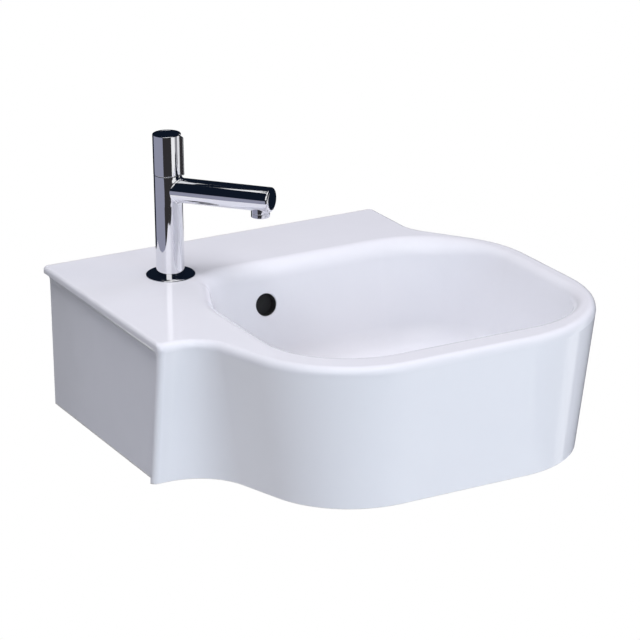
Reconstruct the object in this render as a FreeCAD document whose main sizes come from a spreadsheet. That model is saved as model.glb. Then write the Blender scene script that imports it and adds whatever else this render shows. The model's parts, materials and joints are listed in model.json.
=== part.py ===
import FreeCAD
import Part
import math
import operator
import os
import Sketcher
from types import SimpleNamespace

# Wall hung basin with a pillar tap and a push-plug waste.
# Frame: X along the wall, +Y into the wall, +Z up, millimetres. The origin is the middle of the two
# wall fixing holes, on the wall's face. Each piece is drawn in its own frame and placed from there.

SIZES = {
    # casting seen from above
    "slab_width": 394.0,
    "basin_depth": 441.6,
    "basin_height": 153.2,
    "fixing_drop": 62.0,
    "shoulder_depth": 280.0,
    "flank_angle": 17.7,
    "flank_start": 43.5,
    "right_reach": 258.7,
    "sway_angle": 34.5,
    "sway_start": 80.3,
    "wall_lean": 25.0,
    "front_corner": 138.6,
    "flank_corner": 128.0,
    "flank_hollow": 37.0,
    "sway_corner": 129.7,
    "sway_hollow": 50.0,
    "shoulder_corner": 6.0,
    "wall_corner": 2.0,
    "edge_round": 7.0,
    # walls of the casting
    "skirt_wall": 11.0,
    "deck_wall": 14.0,
    "inner_corner": 5.0,
    "panel_inset": 6.5,
    "lip_height": 8.5,
    "lip_width": 7.0,
    "lip_corner": 8.0,
    # bowl
    "bowl_rear": 112.0,
    "bowl_left": 100.0,
    "front_rim": 36.6,
    "right_rim": 23.6,
    "bowl_depth": 104.0,
    "bowl_lean": 22.0,
    "bowl_wall": 11.0,
    "tap_side_angle": 156.8,
    "tap_side_gap": 36.0,
    "far_side_angle": 42.0,
    "far_side_reach": 57.0,
    "bowl_front_corner": 92.0,
    "bowl_tap_corner": 45.0,
    "bowl_side_corner": 90.0,
    "rim_round": 11.0,
    "floor_round": 28.0,
    "floor_fall": 2.5,
    # overflow
    "overflow_drop": 41.0,
    "overflow_bore": 11.8,
    "duct_gap": 14.0,
    "duct_width": 26.0,
    "duct_wall": 8.0,
    # drain in the bowl
    "drain_back": 206.0,
    "drain_bore": 22.5,
    "drain_seat": 32.5,
    "drain_seat_drop": 3.0,
    "drain_dish": 52.0,
    "drain_thickness": 40.0,
    "boss_radius": 35.0,
    # wall fixing
    "fixing_spacing": 280.0,
    "fixing_bore": 7.0,
    # tap on the deck
    "tap_left": 95.0,
    "tap_back": 92.0,
    "tap_hole": 17.5,
    "spout_angle": 50.0,
    "fit": 0.05,
    "slack": 0.4,
    # tap base and fixing
    "flange_radius": 25.5,
    "flange_height": 2.5,
    "flange_bevel": 0.5,
    "base_seal_inner": 18.4,
    "base_seal_outer": 22.0,
    "base_seal_height": 1.2,
    "shank_radius": 10.4,
    "shank_grip": 12.0,
    "shank_drop": 55.0,
    "supply_radius": 8.3,
    "supply_length": 22.0,
    "thread_bevel": 0.8,
    "clamp_radius": 21.5,
    "clamp_rubber": 3.0,
    "clamp_plate": 2.0,
    "clamp_nut": 9.0,
    "clamp_nut_flats": 30.0,
    # pillar and spout
    "pillar_height": 105.0,
    "pillar_foot": 14.6,
    "pillar_head": 14.4,
    "waterway": 6.5,
    "spout_height": 91.7,
    "spout_radius": 12.7,
    "spout_reach": 114.0,
    "spout_end_round": 2.5,
    "spout_root_round": 3.0,
    "spout_bore": 7.0,
    "outlet_reach": 101.0,
    "outlet_boss": 1.5,
    # aerator in the outlet
    "aerator_radius": 9.6,
    "aerator_thread": 8.2,
    "aerator_bore": 6.0,
    "aerator_drop": 6.0,
    "aerator_grip": 6.0,
    "aerator_wall": 1.2,
    "aerator_lip": 0.8,
    "aerator_seal_height": 1.5,
    # quarter turn valve
    "headwork_depth": 31.5,
    "headwork_radius": 9.4,
    "headwork_collar": 11.3,
    "collar_height": 2.5,
    "headwork_flats": 17.0,
    "headwork_grip": 4.0,
    "headwork_neck": 6.5,
    "neck_height": 12.5,
    "chamber_height": 18.0,
    "window_width": 6.0,
    "waist_seal_height": 1.5,
    "seat_seal": 2.0,
    "disc_bore": 8.3,
    "disc_height": 3.0,
    "port_web": 2.4,
    "port_length": 4.4,
    "port_width": 5.0,
    "carrier_height": 3.0,
    "spindle_radius": 4.0,
    "spindle_reach": 14.0,
    # handle
    "knob_gap": 0.4,
    "knob_height": 42.1,
    "knob_radius": 14.5,
    "knob_bevel": 0.8,
    "web_room": 4.0,
    "rib_width": 3.1,
    "rib_reach": 3.6,
    "rib_rise": 0.6,
    "rib_slope": 2.8,
    "screw_radius": 2.0,
    "screw_head": 4.0,
    "screw_head_height": 3.0,
    "screw_shelf": 1.6,
    "screw_grip": 10.0,
    "cap_radius": 12.5,
    "cap_height": 2.5,
    "cap_sink": 0.4,
    "cap_stub": 3.0,
    # waste
    "waste_rim": 31.5,
    "waste_rim_height": 2.5,
    "rim_bevel": 0.8,
    "rim_land": 3.5,
    "waste_radius": 20.95,
    "waste_bore": 17.5,
    "waste_length": 92.0,
    "waste_seal_height": 1.5,
    "slot_width": 9.0,
    "slot_depth": 28.0,
    "slot_height": 17.0,
    "spider_depth": 38.0,
    "spider_height": 6.0,
    "spider_hub": 9.0,
    "spider_arm": 3.0,
    "waste_lower_seal": 6.0,
    "waste_seal_radius": 30.0,
    "waste_washer": 1.5,
    "waste_nut": 10.0,
    "waste_nut_flats": 52.0,
    # plug and its catch
    "catch_thread": 5.0,
    "catch_radius": 8.0,
    "catch_height": 28.0,
    "plug_radius": 31.0,
    "plug_rise": 8.0,
    "plug_edge": 2.0,
    "plug_bevel": 1.0,
    "plug_crown": 2.0,
    "plug_boss": 16.0,
    "plug_boss_height": 4.0,
    "plug_seal_radius": 29.5,
    "plug_seal_height": 1.5,
    "stem_radius": 3.5,
    "stem_drop": 31.0,
}


class Size:
    """A number together with the spreadsheet formula that gives it."""

    def __init__(self, value, formula):
        self.value = value
        self.formula = formula

    def __add__(self, other):
        return combined(self, "+", other)

    def __radd__(self, other):
        return combined(other, "+", self)

    def __sub__(self, other):
        return combined(self, "-", other)

    def __rsub__(self, other):
        return combined(other, "-", self)

    def __mul__(self, other):
        return combined(self, "*", other)

    def __rmul__(self, other):
        return combined(other, "*", self)

    def __truediv__(self, other):
        return combined(self, "/", other)

    def __neg__(self):
        return combined(0, "-", self)


OPERATIONS = {"+": operator.add, "-": operator.sub, "*": operator.mul, "/": operator.truediv}


def as_size(number):
    """A plain number as a Size of its own."""
    if isinstance(number, Size):
        return number
    return Size(float(number), f"({float(number)})")


def is_number(item, number):
    """True for a plain number of the given value, which a formula can leave out."""
    return not isinstance(item, Size) and item == number


def combined(first, sign, second):
    """Two Sizes, or a Size and a plain number, in one formula."""
    if sign == "*" and (is_number(first, 0) or is_number(second, 0)):
        return 0
    if is_number(first, 0) and sign == "+" or is_number(first, 1) and sign == "*":
        return second
    if is_number(second, 0) and sign in "+-" or is_number(second, 1) and sign == "*":
        return first
    if not isinstance(first, Size) and not isinstance(second, Size):
        return OPERATIONS[sign](first, second)
    first = as_size(first)
    second = as_size(second)
    value = OPERATIONS[sign](first.value, second.value)
    return Size(value, f"({first.formula} {sign} {second.formula})")


def turned(name, function, angle):
    """Sine, cosine or tangent of an angle in degrees."""
    if isinstance(angle, Size):
        return Size(function(math.radians(angle.value)), f"{name}({angle.formula} * 1 deg)")
    return round(function(math.radians(angle)), 12)


def sine(angle):
    return turned("sin", math.sin, angle)


def cosine(angle):
    return turned("cos", math.cos, angle)


def tangent(angle):
    return turned("tan", math.tan, angle)


def value_of(number):
    return number.value if isinstance(number, Size) else float(number)


doc = FreeCAD.newDocument("wall_hung_basin")
sheet = doc.addObject("Spreadsheet::Sheet", "Sizes")
for row, (alias, number) in enumerate(SIZES.items(), start=1):
    sheet.set(f"A{row}", alias)
    sheet.set(f"B{row}", str(number))
    sheet.setAlias(f"B{row}", alias)
doc.recompute()
size = SimpleNamespace(**{alias: Size(number, f"Sizes.{alias}") for alias, number in SIZES.items()})


# ---------------------------------------------------------------- sketches and features

def bind(thing, path, number):
    """Tie a property to its formula in the sheet."""
    if isinstance(number, Size):
        thing.setExpression(path, number.formula)


def new_body(label, x=0, y=0, z=0, turn=0):
    """A PartDesign body in its own place, turned about its upright axis."""
    body = doc.addObject("PartDesign::Body", label)
    body.Label = label
    upright = FreeCAD.Vector(0, 0, 1)
    place = FreeCAD.Vector(value_of(x), value_of(y), value_of(z))
    body.Placement = FreeCAD.Placement(place, FreeCAD.Rotation(upright, value_of(turn)))
    bind(body, "Placement.Base.x", x)
    bind(body, "Placement.Base.y", y)
    bind(body, "Placement.Base.z", z)
    bind(body, "Placement.Rotation.Angle", turn)
    return body


def new_sketch(body, name, plane="XY", offset=0, tilt=0):
    """An empty sketch on one of the body's origin planes, moved along the plane's normal."""
    sketch = body.newObject("Sketcher::SketchObject", name)
    role = f"{plane}_Plane"
    support = next(item for item in body.Origin.OriginFeatures if item.Role == role)
    sketch.AttachmentSupport = [(support, "")]
    sketch.MapMode = "FlatFace"
    lean = FreeCAD.Rotation(FreeCAD.Vector(1, 0, 0), value_of(tilt))
    sketch.AttachmentOffset = FreeCAD.Placement(FreeCAD.Vector(0, 0, value_of(offset)), lean)
    bind(sketch, "AttachmentOffset.Base.z", offset)
    bind(sketch, "AttachmentOffset.Rotation.Angle", tilt)
    return sketch


def hold(sketch, kind, *where, number=None):
    """Add one constraint, tied to its formula where it has a number."""
    if number is None:
        sketch.addConstraint(Sketcher.Constraint(kind, *where))
        return
    index = sketch.addConstraint(Sketcher.Constraint(kind, *where, value_of(number)))
    bind(sketch, f"Constraints[{index}]", number)


ROOT = -1
LEVEL_AXIS = -1
UPRIGHT_AXIS = -2
START, END, CENTRE = 1, 2, 3


def pin_point(sketch, element, spot, x, y):
    """Hold one point of a sketch at its distances from the sketch's origin."""
    if abs(value_of(x)) > 1e-9:
        hold(sketch, "DistanceX", ROOT, START, element, spot, number=x)
    else:
        hold(sketch, "PointOnObject", element, spot, UPRIGHT_AXIS)
    if abs(value_of(y)) > 1e-9:
        hold(sketch, "DistanceY", ROOT, START, element, spot, number=y)
    else:
        hold(sketch, "PointOnObject", element, spot, LEVEL_AXIS)


def draw(sketch, corners):
    """Close a loop of straight sides through the corners: (x, y), or (x, y, radius) where rounded."""
    points = [FreeCAD.Vector(value_of(corner[0]), value_of(corner[1]), 0) for corner in corners]
    arcs = []
    for index, corner in enumerate(corners):
        arcs.append(corner_arc(points, index, value_of(corner[2])) if len(corner) > 2 else None)
    lines = []
    for index in range(len(corners)):
        after = (index + 1) % len(corners)
        first = arcs[index]["leaves"] if arcs[index] else points[index]
        last = arcs[after]["enters"] if arcs[after] else points[after]
        lines.append(sketch.addGeometry(Part.LineSegment(first, last), False))
    for index, corner in enumerate(corners):
        before = lines[index - 1]
        after = lines[index]
        if arcs[index] is None:
            hold(sketch, "Coincident", before, END, after, START)
            pin_point(sketch, after, START, corner[0], corner[1])
            continue
        arc = sketch.addGeometry(arcs[index]["curve"], False)
        enters, leaves = (START, END) if arcs[index]["forward"] else (END, START)
        hold(sketch, "Tangent", before, END, arc, enters)
        hold(sketch, "Tangent", arc, leaves, after, START)
        hold(sketch, "Radius", arc, number=corner[2])
        sharp = sketch.addGeometry(Part.Point(points[index]), True)
        hold(sketch, "PointOnObject", sharp, START, before)
        hold(sketch, "PointOnObject", sharp, START, after)
        pin_point(sketch, sharp, START, corner[0], corner[1])


def corner_arc(points, index, radius):
    """The arc that rounds one corner of a loop, and where it meets the two sides."""
    corner = points[index]
    back = (points[index - 1] - corner).normalize()
    ahead = (points[(index + 1) % len(points)] - corner).normalize()
    half = back.getAngle(ahead) / 2
    enters = corner + back * (radius / math.tan(half))
    leaves = corner + ahead * (radius / math.tan(half))
    centre = corner + (back + ahead).normalize() * (radius / math.sin(half))
    first = math.atan2(enters.y - centre.y, enters.x - centre.x)
    last = math.atan2(leaves.y - centre.y, leaves.x - centre.x)
    forward = (last - first) % (2 * math.pi) < math.pi
    circle = Part.Circle(centre, FreeCAD.Vector(0, 0, 1), radius)
    curve = Part.ArcOfCircle(circle, first, last) if forward else Part.ArcOfCircle(circle, last, first)
    return {"curve": curve, "enters": enters, "leaves": leaves, "forward": forward}


def draw_circle(sketch, radius, x=0, y=0):
    """A full circle, held by its centre and radius."""
    centre = FreeCAD.Vector(value_of(x), value_of(y), 0)
    circle = sketch.addGeometry(Part.Circle(centre, FreeCAD.Vector(0, 0, 1), value_of(radius)), False)
    hold(sketch, "Radius", circle, number=radius)
    pin_point(sketch, circle, CENTRE, x, y)


def finish(feature):
    """Compute the new feature and stop with its name if it failed."""
    doc.recompute()
    if "Invalid" in feature.State or "Error" in feature.State or feature.Shape.isNull():
        raise RuntimeError(f"{feature.Name} failed: {feature.State}")
    return feature


def extrude(body, kind, name, sketch, length, reverse=False, symmetric=False):
    """A pad or pocket of one sketch."""
    feature = body.newObject(f"PartDesign::{kind}", name)
    feature.Profile = sketch
    feature.Length = value_of(length)
    bind(feature, "Length", length)
    feature.Reversed = reverse
    feature.SideType = "Symmetric" if symmetric else "One side"
    return finish(feature)


def turn_about(body, kind, name, sketch):
    """A full revolution or groove about the sketch's upright axis."""
    feature = body.newObject(f"PartDesign::{kind}", name)
    feature.Profile = sketch
    feature.ReferenceAxis = (sketch, ["V_Axis"])
    feature.Angle = 360
    return finish(feature)


def loft(body, kind, name, first, second):
    """Straight-sided loft from one outline to another."""
    feature = body.newObject(f"PartDesign::{kind}", name)
    feature.Profile = first
    feature.Sections = [second]
    feature.Ruled = True
    return finish(feature)


def round_edges(body, name, radius, chosen, kind="Fillet"):
    """Round or bevel the edges of the body's tip for which chosen(edge) is true."""
    base = body.Tip
    names = [f"Edge{number}" for number, edge in enumerate(base.Shape.Edges, start=1) if chosen(edge)]
    if not names:
        raise RuntimeError(f"{name} finds no edges")
    feature = body.newObject(f"PartDesign::{kind}", name)
    feature.Base = (base, names)
    path = "Radius" if kind == "Fillet" else "Size"
    setattr(feature, path, value_of(radius))
    bind(feature, path, radius)
    return finish(feature)


def level_edge(edge, height):
    """True for an edge that lies flat at the given height."""
    box = edge.BoundBox
    return abs(box.ZMin - value_of(height)) < 0.01 and abs(box.ZMax - value_of(height)) < 0.01


# ---------------------------------------------------------------- basin casting

def meet(first, second):
    """Where two sides of an outline cross, each given by the way it faces and how far out it lies."""
    facing_a, reach_a = first[:2]
    facing_b, reach_b = second[:2]
    spread = sine(facing_b - facing_a)
    x = (reach_a * sine(facing_b) - reach_b * sine(facing_a)) / spread
    y = (reach_b * cosine(facing_a) - reach_a * cosine(facing_b)) / spread
    return x, y


def outline(sides):
    """Corners of a loop of sides (facing, reach, radius of the corner to the next side)."""
    corners = []
    for index, side in enumerate(sides):
        following = sides[(index + 1) % len(sides)]
        corners.append((*meet(side, following), side[2]))
    return corners


def casting_sides(inset, lean, corner, wall_corner):
    """The casting from above, set in by inset all round and by lean where its walls are drafted."""
    moved = inset + lean
    half = size.slab_width / 2
    flank_facing = size.flank_angle + 180
    flank_x = half - size.flank_start
    flank_reach = flank_x * cosine(size.flank_angle) + size.shoulder_depth * sine(size.flank_angle)
    sway_reach = half * cosine(size.sway_angle) - size.sway_start * sine(size.sway_angle)
    return [
        (90, -inset if isinstance(inset, Size) else 0, wall_corner),
        (180, half - inset, corner),
        (270, size.shoulder_depth - moved, size.flank_hollow + moved),
        (flank_facing, flank_reach - moved, size.flank_corner - moved),
        (270, size.basin_depth - moved, size.front_corner - moved),
        (0, size.right_reach - moved, size.sway_corner - moved),
        (size.sway_angle, sway_reach - moved, size.sway_hollow + moved),
        (0, half - inset, wall_corner),
    ]


def bowl_sides(outset, lean):
    """The bowl from above, moved out by outset and in by lean."""
    moved = outset - lean
    tap_reach = -size.tap_left * cosine(size.tap_side_angle) - size.tap_back * sine(size.tap_side_angle)
    return [
        (90, moved - size.bowl_rear, size.bowl_tap_corner + moved),
        (size.tap_side_angle, tap_reach - size.tap_side_gap + moved, size.bowl_side_corner + moved),
        (180, size.bowl_left + moved, size.bowl_front_corner + moved),
        (270, size.basin_depth - size.front_rim + moved, size.bowl_front_corner + moved),
        (0, size.right_reach - size.right_rim + moved, size.bowl_side_corner + moved),
        (size.far_side_angle, size.far_side_reach + moved, size.bowl_side_corner + moved),
    ]


def at_height(total, height):
    """Share of a wall's lean that is reached at a height below the deck."""
    return total * height / size.basin_height


def basin_body():
    body = new_body("basin_body", z=size.fixing_drop)
    height = size.basin_height

    top = new_sketch(body, "casting_top")
    draw(top, outline(casting_sides(0, 0, size.shoulder_corner, size.wall_corner)))
    foot = new_sketch(body, "casting_foot", offset=-height)
    draw(foot, outline(casting_sides(0, size.wall_lean, size.shoulder_corner, size.wall_corner)))
    loft(body, "AdditiveLoft", "casting", top, foot)

    add_panel(body)
    front = -size.wall_corner.value - 1
    round_edges(body, "soft_top_edge", size.edge_round,
                lambda edge: level_edge(edge, 0) and edge.BoundBox.YMin < front)
    hollow_out(body)
    add_bowl_shell(body)
    cut_bowl(body)
    cut_passages(body)
    return body


def add_panel(body):
    """The left side is set back behind a lip along its top and front edges."""
    outside = 5
    sketch = new_sketch(body, "side_panel", plane="YZ", offset=-(size.slab_width / 2 + outside))
    below = size.basin_height * 1.2
    behind = 5
    slope = size.wall_lean / size.basin_height
    front_top = -size.shoulder_depth + size.lip_width + slope * size.lip_height
    front_foot = -size.shoulder_depth + size.lip_width + slope * below
    draw(sketch, [
        (behind, -size.lip_height),
        (front_top, -size.lip_height, size.lip_corner),
        (front_foot, -below),
        (behind, -below),
    ])
    extrude(body, "Pocket", "panel_recess", sketch, size.panel_inset + outside, reverse=True)


def hollow_out(body):
    """Open the casting from below, leaving its skirt and its deck."""
    under_deck = new_sketch(body, "hollow_top", offset=-size.deck_wall)
    reached = at_height(size.wall_lean, size.deck_wall)
    draw(under_deck, outline(casting_sides(size.skirt_wall, reached, size.inner_corner, size.inner_corner)))
    mouth = new_sketch(body, "hollow_mouth", offset=-size.basin_height)
    draw(mouth, outline(casting_sides(size.skirt_wall, size.wall_lean, size.inner_corner, size.inner_corner)))
    loft(body, "SubtractiveLoft", "hollow", under_deck, mouth)


def bowl_floor_height(back):
    """Height of the sloping bowl floor at a distance from the wall."""
    return (back - size.drain_back) * tangent(size.floor_fall) - size.bowl_depth


def add_bowl_shell(body):
    """Outside of the bowl, the boss round its drain and the duct from its overflow, under the deck."""
    under = -size.bowl_depth - size.bowl_wall
    brim = new_sketch(body, "shell_brim", offset=-size.deck_wall / 2)
    draw(brim, outline(bowl_sides(size.bowl_wall, 0)))
    belly = new_sketch(body, "shell_belly", offset=under)
    draw(belly, outline(bowl_sides(size.bowl_wall, size.bowl_lean)))
    loft(body, "AdditiveLoft", "bowl_shell", brim, belly)

    boss_foot = -size.bowl_depth - size.drain_thickness
    boss = new_sketch(body, "drain_boss", offset=boss_foot)
    draw_circle(boss, size.boss_radius, y=-size.drain_back)
    extrude(body, "Pad", "boss", boss, size.drain_thickness - 1)

    duct = new_sketch(body, "duct_side", plane="YZ")
    draw(duct, duct_profile(size.duct_wall))
    extrude(body, "Pad", "duct", duct, size.duct_width + size.duct_wall * 2, symmetric=True)


def rear_wall(height):
    """How far from the wall the bowl's rear face lies at a height below the deck."""
    return -size.bowl_rear - size.bowl_lean * height / size.bowl_depth


def duct_profile(grown):
    """Side view of the overflow duct behind and under the bowl, grown by its own wall."""
    head = size.overflow_drop - size.overflow_bore - 2 - grown
    belly = size.bowl_depth + size.bowl_wall
    foot = belly + size.duct_gap + grown
    into_wall = size.bowl_wall - grown
    behind = size.bowl_wall + size.duct_gap + grown
    return [
        (rear_wall(head) + into_wall, -head),
        (rear_wall(head) + behind, -head),
        (rear_wall(foot) + behind, -foot),
        (-size.drain_back, -foot),
        (-size.drain_back, grown - belly),
        (rear_wall(belly) + into_wall, grown - belly),
    ]


def bowl_space():
    """The room inside the bowl: walls that lean in to a floor that falls to the drain."""
    body = new_body("bowl_space")
    rim = new_sketch(body, "bowl_rim")
    draw(rim, outline(bowl_sides(0, 0)))
    floor = new_sketch(body, "bowl_floor", offset=bowl_floor_height(0), tilt=-size.floor_fall)
    draw(floor, outline(bowl_sides(0, size.bowl_lean)))
    loft(body, "AdditiveLoft", "bowl_walls", rim, floor)
    near_floor = -size.bowl_depth.value * 0.7
    round_edges(body, "floor_corner", size.floor_round, lambda edge: edge.BoundBox.ZMax < near_floor)
    return body


def cut_bowl(body):
    """Take the bowl out of the casting and soften its rim."""
    bowl = body.newObject("PartDesign::Boolean", "bowl")
    bowl.Type = "Cut"
    bowl.setObjects([bowl_space()])
    finish(bowl)
    rim = Part.Wire(Part.__sortEdges__(doc.getObject("bowl_rim").Shape.Edges))

    def on_rim(edge):
        middle = edge.valueAt((edge.FirstParameter + edge.LastParameter) / 2)
        return level_edge(edge, 0) and rim.distToShape(Part.Vertex(middle))[0] < 0.01

    round_edges(body, "soft_rim", size.rim_round, on_rim)


def cut_passages(body):
    """Drain hole, overflow duct and hole, tap hole and the two wall fixing holes."""
    drain = new_sketch(body, "drain_section", plane="XZ", offset=size.drain_back)
    seat = -size.bowl_depth - size.drain_seat_drop
    rise = (size.drain_dish - size.drain_seat) * tangent(size.floor_fall * 4)
    boss_foot = -size.bowl_depth - size.drain_thickness
    draw(drain, [
        (0, rise - size.bowl_depth),
        (size.drain_dish, rise - size.bowl_depth),
        (size.drain_seat, -size.bowl_depth),
        (size.drain_seat, seat),
        (size.drain_bore, seat),
        (size.drain_bore, boss_foot - 1),
        (0, boss_foot - 1),
    ])
    turn_about(body, "Groove", "drain", drain)

    duct = new_sketch(body, "duct_way", plane="YZ")
    draw(duct, duct_profile(0))
    extrude(body, "Pocket", "duct_bore", duct, size.duct_width, symmetric=True)

    start = size.bowl_rear + size.bowl_lean * 2
    overflow = new_sketch(body, "overflow_mouth", plane="XZ", offset=start)
    draw_circle(overflow, size.overflow_bore, y=-size.overflow_drop)
    reach = start + rear_wall(size.overflow_drop) + size.bowl_wall + size.duct_gap / 2
    extrude(body, "Pocket", "overflow_hole", overflow, reach)

    tap = new_sketch(body, "tap_hole_place")
    draw_circle(tap, size.tap_hole, x=-size.tap_left, y=-size.tap_back)
    extrude(body, "Pocket", "tap_hole", tap, size.deck_wall + size.bowl_wall)

    wall = new_sketch(body, "fixing_places", plane="XZ")
    draw_circle(wall, size.fixing_bore, x=-size.fixing_spacing / 2, y=-size.fixing_drop)
    draw_circle(wall, size.fixing_bore, x=size.fixing_spacing / 2, y=-size.fixing_drop)
    extrude(body, "Pocket", "fixing_holes", wall, size.skirt_wall * 1.5, reverse=True)


# ---------------------------------------------------------------- turned pieces

def ring(inner, outer, low, high):
    """Half section of a plain ring."""
    return [(inner, low), (outer, low), (outer, high), (inner, high)]


def turned_piece(body, profile):
    """The body's first solid, turned from its half section of (radius, height) corners."""
    section = new_sketch(body, f"{body.Label}_section", plane="XZ")
    draw(section, profile)
    turn_about(body, "Revolution", f"{body.Label}_turned", section)
    return body


def turned_cut(body, name, profile):
    """Cut a bore about the body's upright axis."""
    section = new_sketch(body, f"{name}_section", plane="XZ")
    draw(section, profile)
    turn_about(body, "Groove", name, section)


def repeat_around(body, name, feature, count):
    """Repeat a feature evenly about the body's upright axis."""
    pattern = body.newObject("PartDesign::PolarPattern", name)
    upright = next(item for item in body.Origin.OriginFeatures if item.Role == "Z_Axis")
    pattern.Originals = [feature]
    pattern.Axis = (upright, [""])
    pattern.Angle = 360
    pattern.Occurrences = count
    body.Tip = finish(pattern)


def hexagon(flats):
    """Corners of a hexagon of the given size across its flats."""
    corner = flats / 2 / cosine(30)
    return [(corner * cosine(60 * step), corner * sine(60 * step)) for step in range(6)]


def hexagon_nut(body, flats, bore, low, high):
    """A plain hexagon nut between two heights."""
    blank = new_sketch(body, f"{body.Label}_outline", offset=low)
    draw(blank, hexagon(flats))
    extrude(body, "Pad", f"{body.Label}_blank", blank, high - low)
    turned_cut(body, f"{body.Label}_bore", ring(0, bore, low - 1, high + 1))
    return body


# ---------------------------------------------------------------- tap

# Heights on the tap's axis, from the deck.
pillar_top = size.flange_height + size.pillar_height
knob_low = pillar_top + size.knob_gap
knob_top = knob_low + size.knob_height
valve_floor = pillar_top - size.headwork_depth
disc_low = valve_floor + size.seat_seal
turning_low = disc_low + size.disc_height + size.fit
carrier_low = turning_low + size.disc_height
carrier_top = carrier_low + size.carrier_height
chamber_top = disc_low + size.chamber_height
neck_top = pillar_top + size.neck_height
spindle_top = neck_top + size.spindle_reach
screw_shelf = spindle_top + size.slack + size.screw_shelf
cap_low = knob_top - size.cap_height
spout_belly = size.spout_height - size.spout_radius
outlet_seat = spout_belly - size.outlet_boss


def tap_piece(label):
    """A body on the tap's axis, level with the deck, its X along the spout."""
    return new_body(label, x=-size.tap_left, y=-size.tap_back, z=size.fixing_drop, turn=-size.spout_angle)


def tap_body():
    """Pillar and spout, one casting with its waterway."""
    body = tap_piece("tap_body")
    foot = size.flange_height
    turned_piece(body, [(0, foot), (size.pillar_foot, foot), (size.pillar_head, pillar_top), (0, pillar_top)])

    spout = new_sketch(body, "spout_section", plane="YZ")
    draw_circle(spout, size.spout_radius, y=size.spout_height)
    extrude(body, "Pad", "spout", spout, size.spout_reach)
    tip = size.spout_reach.value - 0.01
    round_edges(body, "spout_end", size.spout_end_round, lambda edge: edge.BoundBox.XMin > tip)
    root = size.pillar_foot.value + 1

    def at_root(edge):
        box = edge.BoundBox
        return box.XMin > 0.5 and box.XMax < root and box.ZLength > size.spout_radius.value

    round_edges(body, "spout_root", size.spout_root_round, at_root)
    boss = new_sketch(body, "outlet_boss_place", offset=outlet_seat)
    draw_circle(boss, size.aerator_radius, x=size.outlet_reach)
    extrude(body, "Pad", "outlet_boss", boss, size.spout_radius)

    tail = size.shank_radius + size.fit
    shelf = foot + size.shank_grip
    seat = size.headwork_radius + size.fit
    turned_cut(body, "pillar_bores", [
        (0, foot - 1),
        (tail, foot - 1),
        (tail, shelf),
        (size.waterway, shelf),
        (size.waterway, valve_floor),
        (seat, valve_floor),
        (seat, pillar_top + 1),
        (0, pillar_top + 1),
    ])
    way = new_sketch(body, "spout_way", plane="YZ", offset=size.waterway)
    draw_circle(way, size.spout_bore, y=size.spout_height)
    extrude(body, "Pocket", "spout_bore", way, size.outlet_reach - size.waterway, reverse=True)
    drop = new_sketch(body, "outlet_way", offset=size.spout_height)
    draw_circle(drop, size.aerator_bore, x=size.outlet_reach)
    extrude(body, "Pocket", "outlet_bore", drop, size.spout_radius)
    socket = new_sketch(body, "outlet_socket_place", offset=outlet_seat - 1)
    draw_circle(socket, size.aerator_thread + size.fit, x=size.outlet_reach)
    extrude(body, "Pocket", "outlet_socket", socket, size.aerator_grip + 1, reverse=True)
    return body


def tap_base():
    """Flange on the deck with its seal, and the threaded tail with what clamps it from below."""
    bore = size.shank_radius + size.fit
    rim = size.flange_radius - size.flange_bevel
    flange = turned_piece(tap_piece("tap_base_flange"), [
        (bore, 0),
        (size.base_seal_inner - size.fit, 0),
        (size.base_seal_inner - size.fit, size.base_seal_height),
        (size.base_seal_outer + size.fit, size.base_seal_height),
        (size.base_seal_outer + size.fit, 0),
        (size.flange_radius, 0),
        (size.flange_radius, size.flange_height - size.flange_bevel),
        (rim, size.flange_height),
        (bore, size.flange_height),
    ])
    seal = turned_piece(tap_piece("tap_base_seal"),
                        ring(size.base_seal_inner, size.base_seal_outer, 0, size.base_seal_height))
    shank = turned_piece(tap_piece("tap_shank"), [
        (size.waterway, -size.shank_drop),
        (size.supply_radius - size.thread_bevel, -size.shank_drop),
        (size.supply_radius, size.thread_bevel - size.shank_drop),
        (size.supply_radius, size.supply_length - size.shank_drop),
        (size.shank_radius, size.supply_length - size.shank_drop),
        (size.shank_radius, size.flange_height + size.shank_grip),
        (size.waterway, size.flange_height + size.shank_grip),
    ])
    under_rubber = -size.deck_wall - size.clamp_rubber
    under_plate = under_rubber - size.clamp_plate
    rubber = turned_piece(tap_piece("tap_clamp_washer"),
                          ring(bore, size.clamp_radius, under_rubber, -size.deck_wall))
    plate = turned_piece(tap_piece("tap_clamp_plate"),
                         ring(bore, size.clamp_radius, under_plate, under_rubber))
    nut = hexagon_nut(tap_piece("tap_back_nut"), size.clamp_nut_flats, bore,
                      under_plate - size.clamp_nut, under_plate)
    return [flange, seal, shank, rubber, plate, nut]


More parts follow.
